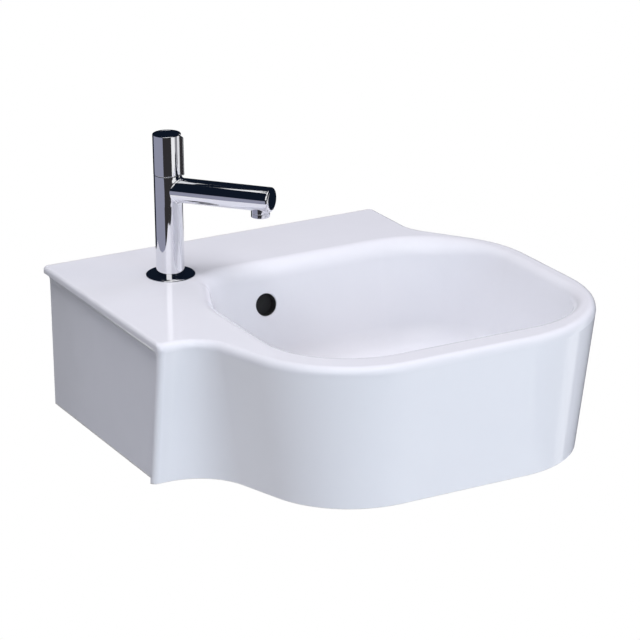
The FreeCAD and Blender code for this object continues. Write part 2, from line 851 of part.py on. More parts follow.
def headwork_body():
    """Fixed part of the quarter turn valve, screwed down on the pillar by its hexagon."""
    body = tap_piece("headwork_body")
    collar_top = pillar_top + size.collar_height
    groove = chamber_top + size.waist_seal_height
    groove_floor = size.headwork_radius - size.waist_seal_height
    turned_piece(body, [
        (0, disc_low),
        (size.headwork_radius, disc_low),
        (size.headwork_radius, groove),
        (groove_floor, groove),
        (groove_floor, groove + size.waist_seal_height),
        (size.headwork_radius, groove + size.waist_seal_height),
        (size.headwork_radius, pillar_top),
        (size.headwork_collar, pillar_top),
        (size.headwork_collar, collar_top),
        (size.headwork_neck, collar_top),
        (size.headwork_neck, neck_top),
        (0, neck_top),
    ])
    grip = new_sketch(body, "headwork_hexagon_place", offset=collar_top)
    draw(grip, hexagon(size.headwork_flats))
    extrude(body, "Pad", "headwork_hexagon", grip, size.headwork_grip)
    bore = size.spindle_radius + size.fit
    turned_cut(body, "headwork_bores", [
        (0, disc_low - 1),
        (size.disc_bore, disc_low - 1),
        (size.disc_bore, chamber_top),
        (bore, chamber_top),
        (bore, neck_top + 1),
        (0, neck_top + 1),
    ])
    window = new_sketch(body, "headwork_window_place", plane="YZ")
    half = size.window_width / 2
    top = chamber_top - size.disc_height
    draw(window, [(-half, carrier_low), (half, carrier_low), (half, top), (-half, top)])
    cut = extrude(body, "Pocket", "headwork_window", window, size.headwork_radius + 1, reverse=True)
    repeat_around(body, "headwork_windows", cut, 3)
    return body


def port_disc(label, radius, low):
    """Ceramic disc with two ports that a quarter turn of its twin opens or shuts."""
    body = turned_piece(tap_piece(label), ring(0, radius, low, low + size.disc_height))
    port = new_sketch(body, f"{label}_port_place", offset=low - 1)
    near = size.port_web / 2
    far = near + size.port_length
    half = size.port_width / 2
    draw(port, [(near, -half), (far, -half), (far, half), (near, half)])
    cut = extrude(body, "Pocket", f"{label}_port", port, size.disc_height + 2, reverse=True)
    repeat_around(body, f"{label}_ports", cut, 2)
    return body


def headwork_fill():
    """What seals and feeds the valve: seat seal, fixed disc, and the ring round its waist."""
    seal = turned_piece(tap_piece("headwork_seat_seal"),
                        ring(size.waterway, size.headwork_radius, valve_floor, disc_low))
    disc = port_disc("fixed_ceramic_disc", size.disc_bore - size.fit, disc_low)
    low = chamber_top + size.waist_seal_height
    waist = turned_piece(tap_piece("headwork_waist_seal"),
                         ring(size.headwork_radius - size.waist_seal_height, size.headwork_radius,
                              low, low + size.waist_seal_height))
    return [seal, disc, waist]


def aerator():
    """Outlet collar screwed up into the spout, with its insert and seal."""
    top = outlet_seat + size.aerator_grip
    low = spout_belly - size.aerator_drop
    seal_low = top - size.aerator_seal_height
    hole = size.aerator_thread - size.aerator_wall
    lip = size.aerator_lip

    def outlet_piece(label, profile):
        reach = size.outlet_reach
        body = new_body(
            label,
            x=reach * cosine(size.spout_angle) - size.tap_left,
            y=-size.tap_back - reach * sine(size.spout_angle),
            z=size.fixing_drop,
        )
        return turned_piece(body, profile)

    housing = outlet_piece("aerator_housing", [
        (hole - lip, low),
        (size.aerator_radius - size.flange_bevel, low),
        (size.aerator_radius, low + size.flange_bevel),
        (size.aerator_radius, outlet_seat),
        (size.aerator_thread, outlet_seat),
        (size.aerator_thread, seal_low),
        (hole, seal_low),
        (hole, low + lip),
        (hole - lip, low + lip),
    ])
    insert = outlet_piece("aerator_insert", ring(0, hole - size.fit, low + lip, seal_low))
    seal = outlet_piece("aerator_seal", ring(size.aerator_bore, size.aerator_thread, seal_low, top))
    return [housing, insert, seal]


def tap_knob():
    """The turning handle: a deep cup over the headwork with a rib toward the spout."""
    body = tap_piece("tap_knob")
    turned_piece(body, [
        (0, knob_low),
        (size.knob_radius, knob_low),
        (size.knob_radius, knob_top - size.knob_bevel),
        (size.knob_radius - size.knob_bevel, knob_top),
        (0, knob_top),
    ])
    side = new_sketch(body, "knob_rib_side", plane="XZ")
    outer = size.knob_radius + size.rib_reach
    inner = size.knob_radius / 2
    draw(side, [
        (inner, knob_low + size.rib_rise),
        (outer, knob_low + size.rib_rise),
        (outer, knob_top - size.rib_slope),
        (size.knob_radius - size.knob_bevel, knob_top - size.knob_bevel),
        (inner, knob_top - size.knob_bevel),
    ])
    extrude(body, "Pad", "knob_rib", side, size.rib_width, symmetric=True)
    room = size.headwork_collar + size.slack
    web = neck_top + size.web_room
    head = size.screw_head + size.slack
    turned_cut(body, "knob_bores", [
        (0, knob_low - 1),
        (room, knob_low - 1),
        (room, web),
        (size.spindle_radius + size.fit, web),
        (size.spindle_radius + size.fit, spindle_top + size.slack),
        (size.screw_radius + size.fit, spindle_top + size.slack),
        (size.screw_radius + size.fit, screw_shelf),
        (head, screw_shelf),
        (head, cap_low),
        (size.cap_radius + size.fit, cap_low),
        (size.cap_radius + size.fit, knob_top + 1),
        (0, knob_top + 1),
    ])
    return body


def knob_fill():
    """What turns with the handle: its cap and screw, the spindle and the disc that it drives."""
    head = size.screw_head + size.slack - size.fit
    cap = turned_piece(tap_piece("knob_cap"), [
        (0, cap_low - size.cap_stub),
        (head, cap_low - size.cap_stub),
        (head, cap_low),
        (size.cap_radius, cap_low),
        (size.cap_radius, knob_top - size.cap_sink),
        (0, knob_top - size.cap_sink),
    ])
    tip = spindle_top - size.screw_grip
    screw = turned_piece(tap_piece("knob_screw"), [
        (0, tip),
        (size.screw_radius, tip),
        (size.screw_radius, screw_shelf),
        (size.screw_head, screw_shelf),
        (size.screw_head, screw_shelf + size.screw_head_height),
        (0, screw_shelf + size.screw_head_height),
    ])
    carrier = size.disc_bore - size.slack
    spindle = turned_piece(tap_piece("tap_spindle"), [
        (0, carrier_low),
        (carrier, carrier_low),
        (carrier, carrier_top),
        (size.spindle_radius, carrier_top),
        (size.spindle_radius, spindle_top),
        (size.screw_radius + size.fit, spindle_top),
        (size.screw_radius + size.fit, tip - size.slack),
        (0, tip - size.slack),
    ])
    disc = port_disc("turning_ceramic_disc", carrier, turning_low)
    return [cap, screw, spindle, disc]


# ---------------------------------------------------------------- waste

# Heights on the drain's axis, from the bowl's floor there.
seal_top = size.waste_seal_height - size.drain_seat_drop
rim_top = seal_top + size.waste_rim_height
boss_foot = -size.drain_thickness
spider_top = -size.spider_depth
plug_low = rim_top + size.plug_seal_height + size.plug_rise
plug_foot = plug_low - size.plug_boss_height


def waste_piece(label):
    """A body on the drain's axis, level with the bowl's floor."""
    return new_body(label, y=-size.drain_back, z=size.fixing_drop - size.bowl_depth)


def waste_body():
    """Dished rim and slotted tube, with a spider across the tube that carries the plug's catch."""
    body = waste_piece("waste_body")
    turned_piece(body, [
        (size.waste_bore, -size.waste_length),
        (size.waste_radius - size.thread_bevel, -size.waste_length),
        (size.waste_radius, size.thread_bevel - size.waste_length),
        (size.waste_radius, seal_top),
        (size.waste_rim, seal_top),
        (size.waste_rim, rim_top - size.rim_bevel),
        (size.waste_rim - size.rim_bevel, rim_top),
        (size.waste_rim - size.rim_land, rim_top),
        (size.waste_bore + size.rim_bevel, seal_top + size.rim_bevel),
        (size.waste_bore, seal_top - size.rim_bevel),
    ])
    slot = new_sketch(body, "waste_slot_place", plane="XZ")
    half = size.slot_width / 2
    draw(slot, [
        (-half, -size.slot_depth),
        (half, -size.slot_depth),
        (half, size.slot_height - size.slot_depth),
        (-half, size.slot_height - size.slot_depth),
    ])
    extrude(body, "Pocket", "waste_slots", slot, size.waste_radius * 2 + 2, symmetric=True)
    hub = new_sketch(body, "spider_hub_place", offset=spider_top - size.spider_height)
    draw_circle(hub, size.spider_hub)
    extrude(body, "Pad", "spider_hub", hub, size.spider_height)
    arm = new_sketch(body, "spider_arm_place", offset=spider_top - size.spider_height)
    reach = size.waste_bore + size.thread_bevel
    width = size.spider_arm / 2
    draw(arm, [(0, -width), (reach, -width), (reach, width), (0, width)])
    pad = extrude(body, "Pad", "spider_arm", arm, size.spider_height)
    repeat_around(body, "spider_arms", pad, 3)
    turned_cut(body, "spider_bore", ring(0, size.catch_thread + size.fit,
                                         spider_top - size.spider_height - 1, spider_top + 1))
    return body


def waste_fixing():
    """Seals above and below the drain's boss, the washer and the nut that clamps the waste."""
    bore = size.waste_radius + size.fit
    under_seal = boss_foot - size.waste_lower_seal
    under_washer = under_seal - size.waste_washer
    upper = turned_piece(waste_piece("waste_upper_seal"),
                         ring(bore, size.waste_rim, -size.drain_seat_drop, seal_top))
    lower = turned_piece(waste_piece("waste_lower_seal"), [
        (bore, under_seal),
        (size.waste_seal_radius, under_seal),
        (size.waste_seal_radius, boss_foot),
        (bore, boss_foot),
    ])
    washer = turned_piece(waste_piece("waste_slip_washer"),
                          ring(bore, size.waste_seal_radius, under_washer, under_seal))
    nut = hexagon_nut(waste_piece("waste_back_nut"), size.waste_nut_flats, bore,
                      under_washer - size.waste_nut, under_washer)
    return [upper, lower, washer, nut]


def click_cartridge():
    """The catch screwed into the spider, in whose bore the plug's stem slides."""
    top = spider_top + size.catch_height
    bore = size.stem_radius + size.fit
    floor = plug_foot - size.stem_drop - size.plug_rise - size.slack
    return turned_piece(waste_piece("click_cartridge"), [
        (0, spider_top - size.spider_height),
        (size.catch_thread, spider_top - size.spider_height),
        (size.catch_thread, spider_top),
        (size.catch_radius, spider_top),
        (size.catch_radius, top),
        (bore, top),
        (bore, floor),
        (0, floor),
    ])


def waste_plug():
    """Domed plug with its seal and stem, drawn raised and open."""
    edge_top = plug_low + size.plug_edge
    crown = edge_top + size.plug_crown
    plug = turned_piece(waste_piece("waste_plug"), [
        (size.stem_radius + size.fit, plug_foot),
        (size.plug_boss, plug_foot),
        (size.plug_boss, plug_low),
        (size.plug_radius, plug_low),
        (size.plug_radius, edge_top - size.plug_bevel),
        (size.plug_radius - size.plug_bevel, edge_top),
        (size.plug_boss, crown),
        (0, crown),
        (0, plug_low),
        (size.stem_radius + size.fit, plug_low),
    ])
    seal = turned_piece(waste_piece("plug_seal"),
                        ring(size.plug_boss + size.fit, size.plug_seal_radius,
                             plug_low - size.plug_seal_height, plug_low))
    stem = turned_piece(waste_piece("plug_stem"), ring(0, size.stem_radius, plug_foot - size.stem_drop, plug_low))
    return [plug, seal, stem]


pieces = [
    basin_body(),
    tap_body(),
    *tap_base(),
    headwork_body(),
    *headwork_fill(),
    *aerator(),
    tap_knob(),
    *knob_fill(),
    waste_body(),
    *waste_fixing(),
    click_cartridge(),
    *waste_plug(),
]

doc.recompute()
for item in doc.Objects:
    if "Invalid" in item.State or "Error" in item.State:
        raise RuntimeError(f"{item.Name} failed: {item.State}")

os.makedirs("parts", exist_ok=True)
for piece in pieces:
    if piece.Shape.isNull() or not piece.Shape.isValid():
        raise RuntimeError(f"{piece.Label} has no valid shape")
    piece.Shape.exportStep(f"parts/{piece.Label}.step")
    print(piece.Label, len(piece.Shape.Solids), round(piece.Shape.Volume, 1))
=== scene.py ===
import json
import math

import bmesh
import bpy
from mathutils import Matrix, Vector

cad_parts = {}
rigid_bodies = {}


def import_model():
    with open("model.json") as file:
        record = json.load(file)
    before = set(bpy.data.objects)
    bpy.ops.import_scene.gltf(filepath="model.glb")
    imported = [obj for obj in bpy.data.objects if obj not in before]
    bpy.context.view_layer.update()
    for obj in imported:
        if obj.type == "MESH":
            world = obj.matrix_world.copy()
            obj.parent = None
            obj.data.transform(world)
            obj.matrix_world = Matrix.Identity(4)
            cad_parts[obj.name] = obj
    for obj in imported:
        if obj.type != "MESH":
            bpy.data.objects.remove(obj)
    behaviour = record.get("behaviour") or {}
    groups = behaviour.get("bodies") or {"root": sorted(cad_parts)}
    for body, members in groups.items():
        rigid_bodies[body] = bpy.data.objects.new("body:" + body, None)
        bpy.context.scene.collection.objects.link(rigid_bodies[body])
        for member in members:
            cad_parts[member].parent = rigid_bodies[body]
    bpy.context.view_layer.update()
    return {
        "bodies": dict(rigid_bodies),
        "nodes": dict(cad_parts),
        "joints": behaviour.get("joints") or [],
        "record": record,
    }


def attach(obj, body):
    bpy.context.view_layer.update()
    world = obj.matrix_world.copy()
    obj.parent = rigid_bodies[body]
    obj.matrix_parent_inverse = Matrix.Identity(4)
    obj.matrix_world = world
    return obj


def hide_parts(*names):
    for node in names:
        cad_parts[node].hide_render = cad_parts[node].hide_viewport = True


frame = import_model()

MM = 0.001


# The basin casting: one piece of vitreous china, slip cast and glazed white all over but its foot and
# its back, which the kiln leaves bare. It has a deck with a shoulder for the tap at the left, a bowl set
# to the right of it, a skirt that leans in below, and a left side set back behind a lip.

# The casting from above: the flank swells out from the tap's shoulder, the sway from the right side.
SLAB_HALF = 197.0
DEPTH = 441.6
SHOULDER_DEPTH = 280.0
SHOULDER_CORNER = 6.0
WALL_CORNER = 2.0
FLANK_ANGLE = 17.7
FLANK_START = 43.5
FLANK_HOLLOW = 37
FLANK_CORNER = 128
FRONT_CORNER = 138.6
RIGHT_REACH = 258.7
SWAY_ANGLE = 34.5
SWAY_START = 80.3
SWAY_CORNER = 129.7
SWAY_HOLLOW = 50

# The casting from the side.
DECK = 62.0
HEIGHT = 153.2
DECK_WALL = 14.0
SKIRT_WALL = 11.0
WALL_LEAN = 25.0
FOOT_FULLER = 13
TOP_ROUND = 7.5
SIDE_ROUND = 3.5
FOOT_ROUND = 2.5
INNER_CORNER = 5
EDGE_BAND = 1.2


def cosine(angle):
    return math.cos(math.radians(angle))


def tangent(angle):
    return math.tan(math.radians(angle))


def turn_of(x, y):
    return math.degrees(math.atan2(y, x))


def sine(angle):
    return math.sin(math.radians(angle))


def corner_between(first, second, inset):
    """Where two sides meet, each (facing, reach, ...), once both are moved in by inset."""
    facing_a, reach_a = first[0], first[1] - inset
    facing_b, reach_b = second[0], second[1] - inset
    spread = sine(facing_b - facing_a)
    x = (reach_a * sine(facing_b) - reach_b * sine(facing_a)) / spread
    y = (reach_b * cosine(facing_a) - reach_a * cosine(facing_b)) / spread
    return Vector((x, y))


def outline(sides, spacing=None):
    """Points round a loop of sides (facing, reach, radius of the corner to the next), with their normals.
    The side numbered by spacing gets extra points at those distances back from its far end."""
    loop = []
    for index, side in enumerate(sides):
        following = sides[(index + 1) % len(sides)]
        turn = (following[0] - side[0] + 180) % 360 - 180
        radius = math.copysign(side[2], turn)
        centre = corner_between(side, following, radius)
        steps = max(4, round(abs(turn) / 3))
        square_on = Vector((cosine(side[0]), sine(side[0])))
        first = centre + radius * square_on
        if spacing and spacing[0] == index:
            start = loop[-1][0]
            length = (first - start).length
            back = (start - first) / length
            for distance in reversed(spacing[1]):
                away = distance if distance < 60 else distance / 300 * length
                loop.append((first + back * away, square_on))
        for step in range(steps + 1):
            facing = side[0] + turn * step / steps
            normal = Vector((cosine(facing), sine(facing)))
            loop.append((centre + radius * normal, normal))
    return loop


def casting_sides(lean, soft, side_soft, wall=0.0, corner=SHOULDER_CORNER, wall_corner=WALL_CORNER):
    """The casting from above: lean is how far its drafted sides have moved in, soft and side_soft how far
    the rounding takes the drafted and the upright sides, and wall how far the side at the wall moves."""
    moved = lean + soft
    flank_reach = (SLAB_HALF - FLANK_START) * cosine(FLANK_ANGLE) + SHOULDER_DEPTH * sine(FLANK_ANGLE)
    sway_reach = SLAB_HALF * cosine(SWAY_ANGLE) - SWAY_START * sine(SWAY_ANGLE)
    fuller = FOOT_FULLER * lean / WALL_LEAN
    return [
        (90, -wall, wall_corner),
        (180, SLAB_HALF - side_soft, corner),
        (270, SHOULDER_DEPTH - moved, FLANK_HOLLOW + moved),
        (180 + FLANK_ANGLE, flank_reach - moved, FLANK_CORNER - moved),
        (270, DEPTH - moved, FRONT_CORNER - moved - fuller),
        (0, RIGHT_REACH - moved, SWAY_CORNER - moved),
        (SWAY_ANGLE, sway_reach - moved, SWAY_HOLLOW + moved),
        (0, SLAB_HALF - min(soft, TOP_ROUND), wall_corner),
    ]


WALL_ANGLE = turn_of(HEIGHT, WALL_LEAN)
TOP_TANGENT = TOP_ROUND / tangent((90 - WALL_ANGLE) / 2)
ROLL_TURN = 90 + WALL_ANGLE
ROLL_END = TOP_ROUND * (1 - cosine(ROLL_TURN))


def outer_sides(depth, extra=0.0):
    """The casting's outside at a depth below the deck, moved in by extra."""
    if depth > ROLL_END - 1e-6:
        lean = min(WALL_LEAN * depth / HEIGHT, WALL_LEAN)
        soft = extra
    else:
        lean = 0.0
        soft = TOP_TANGENT - math.sqrt(max(TOP_ROUND ** 2 - (TOP_ROUND - depth) ** 2, 0.0)) + extra
    side = extra
    if depth < SIDE_ROUND:
        side += SIDE_ROUND - math.sqrt(SIDE_ROUND ** 2 - (SIDE_ROUND - depth) ** 2)
    foot = max(0.0, depth - HEIGHT + FOOT_ROUND)
    foot = FOOT_ROUND - math.sqrt(max(FOOT_ROUND ** 2 - foot ** 2, 0.0))
    return casting_sides(lean, soft + foot, side)


PANEL_INSET = 6.5
LIP_HEIGHT = 8.0
LIP_WIDTH = 7.0
LIP_CORNER = 8.0
COVE = 9.0
PANEL_SLOPE = WALL_LEAN / HEIGHT


def panel_depth(y, depth):
    """How deep the left side is set back at a place on it: nothing on the lip, then a cove to the panel."""
    front = -SHOULDER_DEPTH + LIP_WIDTH + PANEL_SLOPE * depth
    from_front = (y - front) * math.cos(math.atan(PANEL_SLOPE))
    from_top = depth - LIP_HEIGHT
    if from_front < LIP_CORNER and from_top < LIP_CORNER:
        inside = LIP_CORNER - math.hypot(LIP_CORNER - from_front, LIP_CORNER - from_top)
    else:
        inside = min(from_front, from_top)
    share = min(max(inside / COVE, 0.0), 1.0)
    return PANEL_INSET * math.sqrt(1 - (1 - share) ** 2)


LEFT_SIDE = 1
LEFT_POINTS = [0.7 * step for step in range(1, 36)] + [32, 45, 90, 150, 220, 270, 292, 299]


def level(sides, depth, panel=False):
    """The points of the casting at one depth; panel sets its left side back."""
    points = []
    for place, _ in outline(sides, (LEFT_SIDE, LEFT_POINTS)):
        set_back = 0.0
        if panel and place.x < -SLAB_HALF + 2.5 and place.y > -SHOULDER_DEPTH + 2:
            set_back = panel_depth(place.y, depth)
        points.append((place.x + set_back, place.y, DECK - depth))
    return points


def ring_of(mesh, points, unit=MM):
    """Vertices of one loop, given in millimetres unless another unit is named."""
    return [mesh.verts.new(Vector(point) * unit) for point in points]


def join_rings(mesh, first, second, skip=None):
    """Faces between two loops of the same length, but for the one that starts at the skipped place."""
    count = len(first)
    for place in range(count):
        if place != skip:
            after = (place + 1) % count
            mesh.faces.new((first[place], first[after], second[after], second[place]))


def join_all(mesh, rings, skip=None):
    """Faces between each loop and the next."""
    for near, far in zip(rings, rings[1:]):
        join_rings(mesh, near, far, skip)


def fill_between(mesh, rings, normal):
    """Close a flat stretch that has one outer loop and any number of holes."""
    edges = []
    for ring in rings:
        for place, vertex in enumerate(ring):
            following = ring[(place + 1) % len(ring)]
            edges.append(mesh.edges.get((vertex, following)) or mesh.edges.new((vertex, following)))
    bmesh.ops.triangle_fill(mesh, use_beauty=True, use_dissolve=False, edges=edges, normal=normal)


def circle(radius, x, y, z, steps=48, axis="z"):
    """Points of a level circle, or of one that faces the wall."""
    points = []
    for step in range(steps):
        across = radius * cosine(360 * step / steps)
        along = radius * sine(360 * step / steps)
        points.append((x + across, y, z + along) if axis == "y" else (x + across, y + along, z))
    return points


FIXING_REACH = 140.0
FIXING = 7.0


def back_with_holes(mesh, rows, wall_row):
    """Close the stretch at the wall that rows leave open, but for the two fixing holes."""
    wall_y = wall_row[0].co.y / MM
    middles = (-FIXING_REACH, FIXING_REACH)
    holes = [ring_of(mesh, circle(FIXING, middle, wall_y, 0, 32, "y")) for middle in middles]
    stretch = [row[0] for row in rows] + [row[-1] for row in reversed(rows)]
    fill_between(mesh, [stretch] + holes, (0, 1, 0))
    return holes


def build_outside(mesh):
    """The rolled edge, the skirt and the back: gives the loops on the deck, at the foot and of the holes."""
    depths = [TOP_ROUND * (1 - cosine(ROLL_TURN * step / 9)) for step in range(10)]
    depths += [8.6 + 0.7 * step for step in range(15)] + [24, 40, 70, 110]
    depths += [HEIGHT - FOOT_ROUND * (1 - sine(15 * step)) for step in range(7)]
    rows = [ring_of(mesh, level(outer_sides(depth), depth, panel=True)) for depth in depths]
    join_all(mesh, rows, skip=len(rows[0]) - 1)
    deck_edge = ring_of(mesh, level(outer_sides(0, EDGE_BAND), 0))
    join_rings(mesh, deck_edge, rows[0])
    return deck_edge, rows[-1], back_with_holes(mesh, rows, rows[5])


def build_hollow(mesh, foot, fixings):
    """The skirt's inner face, open below: gives the loop in which it meets the deck's underside."""
    rows = []
    for depth in (HEIGHT, 60.0, DECK_WALL + 4, DECK_WALL + 1.2, DECK_WALL):
        soft = SKIRT_WALL + max(0.0, 4 - (depth - DECK_WALL)) * 0.9
        sides = casting_sides(WALL_LEAN * depth / HEIGHT, soft, soft, soft, INNER_CORNER, INNER_CORNER)
        sides[7] = (0, SLAB_HALF - soft, INNER_CORNER)
        rows.append(ring_of(mesh, level(sides, depth)))
    last = len(rows[0]) - 1
    join_all(mesh, rows, skip=last)
    join_rings(mesh, foot, rows[0])
    inner_fixings = back_with_holes(mesh, rows[:3], rows[0])
    for lower, upper in zip(rows[2:], rows[3:]):
        mesh.faces.new((lower[last], lower[0], upper[0], upper[last]))
    for near, far in zip(fixings, inner_fixings):
        join_rings(mesh, near, far)
    return rows[-1]


TAP = Vector((-95.0, -92.0))
TAP_HOLE = 17.5
BOWL_REAR = 112
BOWL_LEFT = 100
BOWL_FRONT = 405
BOWL_RIGHT = 235.1
TAP_SIDE_ANGLE = 156.8
TAP_SIDE_GAP = 36
FAR_SIDE_ANGLE = 42
FAR_SIDE_REACH = 57
TAP_SIDE_CORNER = 45
BOWL_CORNER = 90
FRONT_BOWL_CORNER = 92


def bowl_sides(outset):
    """The bowl's sharp rim from above, moved out by outset; one side passes the tap at a fixed gap."""
    tap_reach = TAP.x * cosine(TAP_SIDE_ANGLE) + TAP.y * sine(TAP_SIDE_ANGLE) - TAP_SIDE_GAP
    return [
        (90, outset - BOWL_REAR, TAP_SIDE_CORNER + outset),
        (TAP_SIDE_ANGLE, tap_reach + outset, BOWL_CORNER + outset),
        (180, BOWL_LEFT + outset, FRONT_BOWL_CORNER + outset),
        (270, BOWL_FRONT + outset, FRONT_BOWL_CORNER + outset),
        (0, BOWL_RIGHT + outset, BOWL_CORNER + outset),
        (FAR_SIDE_ANGLE, FAR_SIDE_REACH + outset, BOWL_CORNER + outset),
    ]


BOWL_LEAN = 22.0
BOWL_DEPTH = 104.0
BOWL_WALL = 11.0
RIM_ROUND = 11
REAR_RIM_MORE = 9
FLOOR_FALL = tangent(2.5)
FLOOR_ROUND = 28.0
DRAIN = Vector((0.0, -206.0))
WALL_ROW = 10
FLOOR_ROW = 12


def floor_depth(y):
    """Depth below the deck of the bowl's floor, which falls toward the wall."""
    return BOWL_DEPTH + (y - DRAIN.y) * FLOOR_FALL


def soft_step(share):
    """A share held between 0 and 1 that starts and ends gently."""
    share = min(max(share, 0.0), 1.0)
    return share * share * (3 - 2 * share)


def bowl_profile(y, facing_back):
    """Rim, wall and floor corner at one place of the bowl: (distance outward, depth) from the sharp rim."""
    rim = RIM_ROUND + REAR_RIM_MORE * facing_back
    depth = floor_depth(y)
    slope = turn_of(depth, BOWL_LEAN)
    half_corner = tangent((90 + slope) / 2)
    outset = rim / half_corner
    places = [(outset + EDGE_BAND, 0.0)]
    for step in range(9):
        angle = (90 - slope) * step / 8
        places.append((outset - rim * sine(angle), rim * (1 - cosine(angle))))
    for depth_there in (26.0, 66.0):
        places.append((-depth_there * BOWL_LEAN / depth, depth_there))
    centre = -BOWL_LEAN - FLOOR_ROUND / half_corner
    for step in range(11):
        angle = slope + (90 - slope) * step / 10
        places.append((centre + FLOOR_ROUND * cosine(angle),
                       depth - FLOOR_ROUND + FLOOR_ROUND * sine(angle)))
    places.append((centre - EDGE_BAND, depth))
    return places


def build_bowl(mesh, around):
    """The bowl's rim, wall and floor corner: gives their loops, with a gap for the overflow in one row."""
    profiles = []
    for place, normal in around:
        facing_back = soft_step(normal.y * 1.6 - 0.4)
        profiles.append(bowl_profile(place.y - normal.y * 30, facing_back))
    rows = []
    for number in range(len(profiles[0])):
        loop = []
        for (place, normal), profile in zip(around, profiles):
            outward, depth = profile[number]
            spot = place + normal * outward
            if number >= FLOOR_ROW:
                depth += floor_depth(spot.y) - profile[-1][1]
            loop.append((spot.x, spot.y, DECK - depth))
        rows.append(ring_of(mesh, loop))
    for number, (upper, lower) in enumerate(zip(rows, rows[1:])):
        join_rings(mesh, upper, lower, skip=len(around) - 1 if number == WALL_ROW else None)
    return rows


OVERFLOW_DROP = 41.0
OVERFLOW = 11.8


def build_overflow(mesh, rear):
    """The overflow hole with its eased mouth, in the flat stretch of the bowl's back that rear bounds."""
    middle = sum((vertex.co for vertex in rear), Vector()) / 4
    down = (rear[3].co - rear[0].co).normalized()
    across = Vector((1, 0, 0))
    inward = Vector((0, -down.z, down.y))
    height = (DECK - OVERFLOW_DROP) * MM
    heart = Vector((0, middle.y + (height - middle.z) * down.y / down.z, height))
    hole = []
    for eased, sunk in ((1.6, 0.0), (0.75, 0.25), (0.2, 0.85), (0.0, 1.7), (0.0, 24.0)):
        ring = []
        for step in range(48):
            angle = 360 * step / 48
            spot = heart + (across * cosine(angle) + down * sine(angle)) * (OVERFLOW + eased) * MM
            ring.append(mesh.verts.new(spot + inward * sunk * MM))
        hole.append(ring)
    join_all(mesh, hole)
    mesh.faces.new(hole[-1])
    fill_between(mesh, [rear, hole[0]], inward)


DISH = 46.0
SEAT = 32.5
SEAT_DROP = 3.0
DRAIN_BORE = 22.5
BOSS = 35.0
BOSS_DROP = 40.0


def build_drain(mesh, floor_loop):
    """The dish in the floor, the waste's seat and bore and the boss below: gives the boss's upper loop."""
    dish = []
    for radius in (DISH, 43, 40, 37, 34.5, SEAT + 0.8, SEAT):
        share = soft_step((radius - SEAT) / (DISH - SEAT))
        ring = []
        for x, y, _ in circle(radius, DRAIN.x, DRAIN.y, 0, 64):
            ring.append((x, y, DECK - BOWL_DEPTH * (1 - share) - floor_depth(y) * share))
        dish.append(ring_of(mesh, ring))
    join_all(mesh, dish)
    fill_between(mesh, [floor_loop, dish[0]], (0, 0, 1))
    drain = [dish[-1]]
    for radius, drop in ((SEAT, SEAT_DROP), (DRAIN_BORE, SEAT_DROP), (DRAIN_BORE, BOSS_DROP),
                         (BOSS - 2, BOSS_DROP), (BOSS, BOSS_DROP - 2), (BOSS, BOWL_WALL)):
        drain.append(ring_of(mesh, circle(radius, DRAIN.x, DRAIN.y, DECK - (BOWL_DEPTH + drop), 64)))
    join_all(mesh, drain)
    return drain[-1]


def build_shell(mesh, around):
    """The bowl's outer face inside the hollow, in loops from the deck's underside down to its floor."""
    shell = []
    for narrower, depth in ((0, DECK_WALL), (1, DECK_WALL + 4), (16, 92.0), (19, 104.0), (24, 111.0),
                            (32, BOWL_DEPTH + BOWL_WALL)):
        loop = []
        for place, normal in around:
            spot = place + normal * (BOWL_WALL - narrower)
            loop.append((spot.x, spot.y, DECK - depth))
        shell.append(ring_of(mesh, loop))
    join_all(mesh, shell)
    return shell


def build_casting(mesh):
    """The whole casting: down the outside, up the hollow, then over the deck into the bowl."""
    deck_edge, foot, fixings = build_outside(mesh)
    hollow_edge = build_hollow(mesh, foot, fixings)
    around = outline(bowl_sides(0))
    bowl = build_bowl(mesh, around)
    heights = (DECK, DECK - DECK_WALL)
    tap_hole = [ring_of(mesh, circle(TAP_HOLE, TAP.x, TAP.y, height)) for height in heights]
    join_rings(mesh, *tap_hole)
    fill_between(mesh, [deck_edge, bowl[0], tap_hole[0]], (0, 0, 1))
    upper, lower = bowl[WALL_ROW], bowl[WALL_ROW + 1]
    build_overflow(mesh, [upper[-1], upper[0], lower[0], lower[-1]])
    boss = build_drain(mesh, bowl[-1])
    shell = build_shell(mesh, around)
    fill_between(mesh, [hollow_edge, shell[0], tap_hole[1]], (0, 0, -1))
    fill_between(mesh, [shell[-1], boss], (0, 0, -1))


def set_in_scene(name, mesh):
    """A new object of the scene from a mesh under construction."""
    data = bpy.data.meshes.new(name)
    mesh.to_mesh(data)
    mesh.free()
    made = bpy.data.objects.new(name, data)
    bpy.context.scene.collection.objects.link(made)
    return made


def body_mesh(name, build):
    """A new object whose mesh the given function makes, shaded smooth but for its sharp edges and flats."""
    mesh = bmesh.new()
    build(mesh)
    bmesh.ops.remove_doubles(mesh, verts=mesh.verts, dist=1e-7)
    bmesh.ops.dissolve_degenerate(mesh, dist=1e-7, edges=mesh.edges)
    bmesh.ops.recalc_face_normals(mesh, faces=mesh.faces)
    made = set_in_scene(name, mesh)
    made.data.shade_smooth()
    made.data.set_sharp_from_angle(angle=math.radians(32))
    made.modifiers.new("flats_kept_flat", "WEIGHTED_NORMAL").keep_sharp = True
    return made


def piece(name, build, body, node, material):
    """Build a mesh and set it on its body in place of its node and material."""
    made = body_mesh(name, build)
    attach(made, body)
    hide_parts(node)
    made.data.materials.append(material)


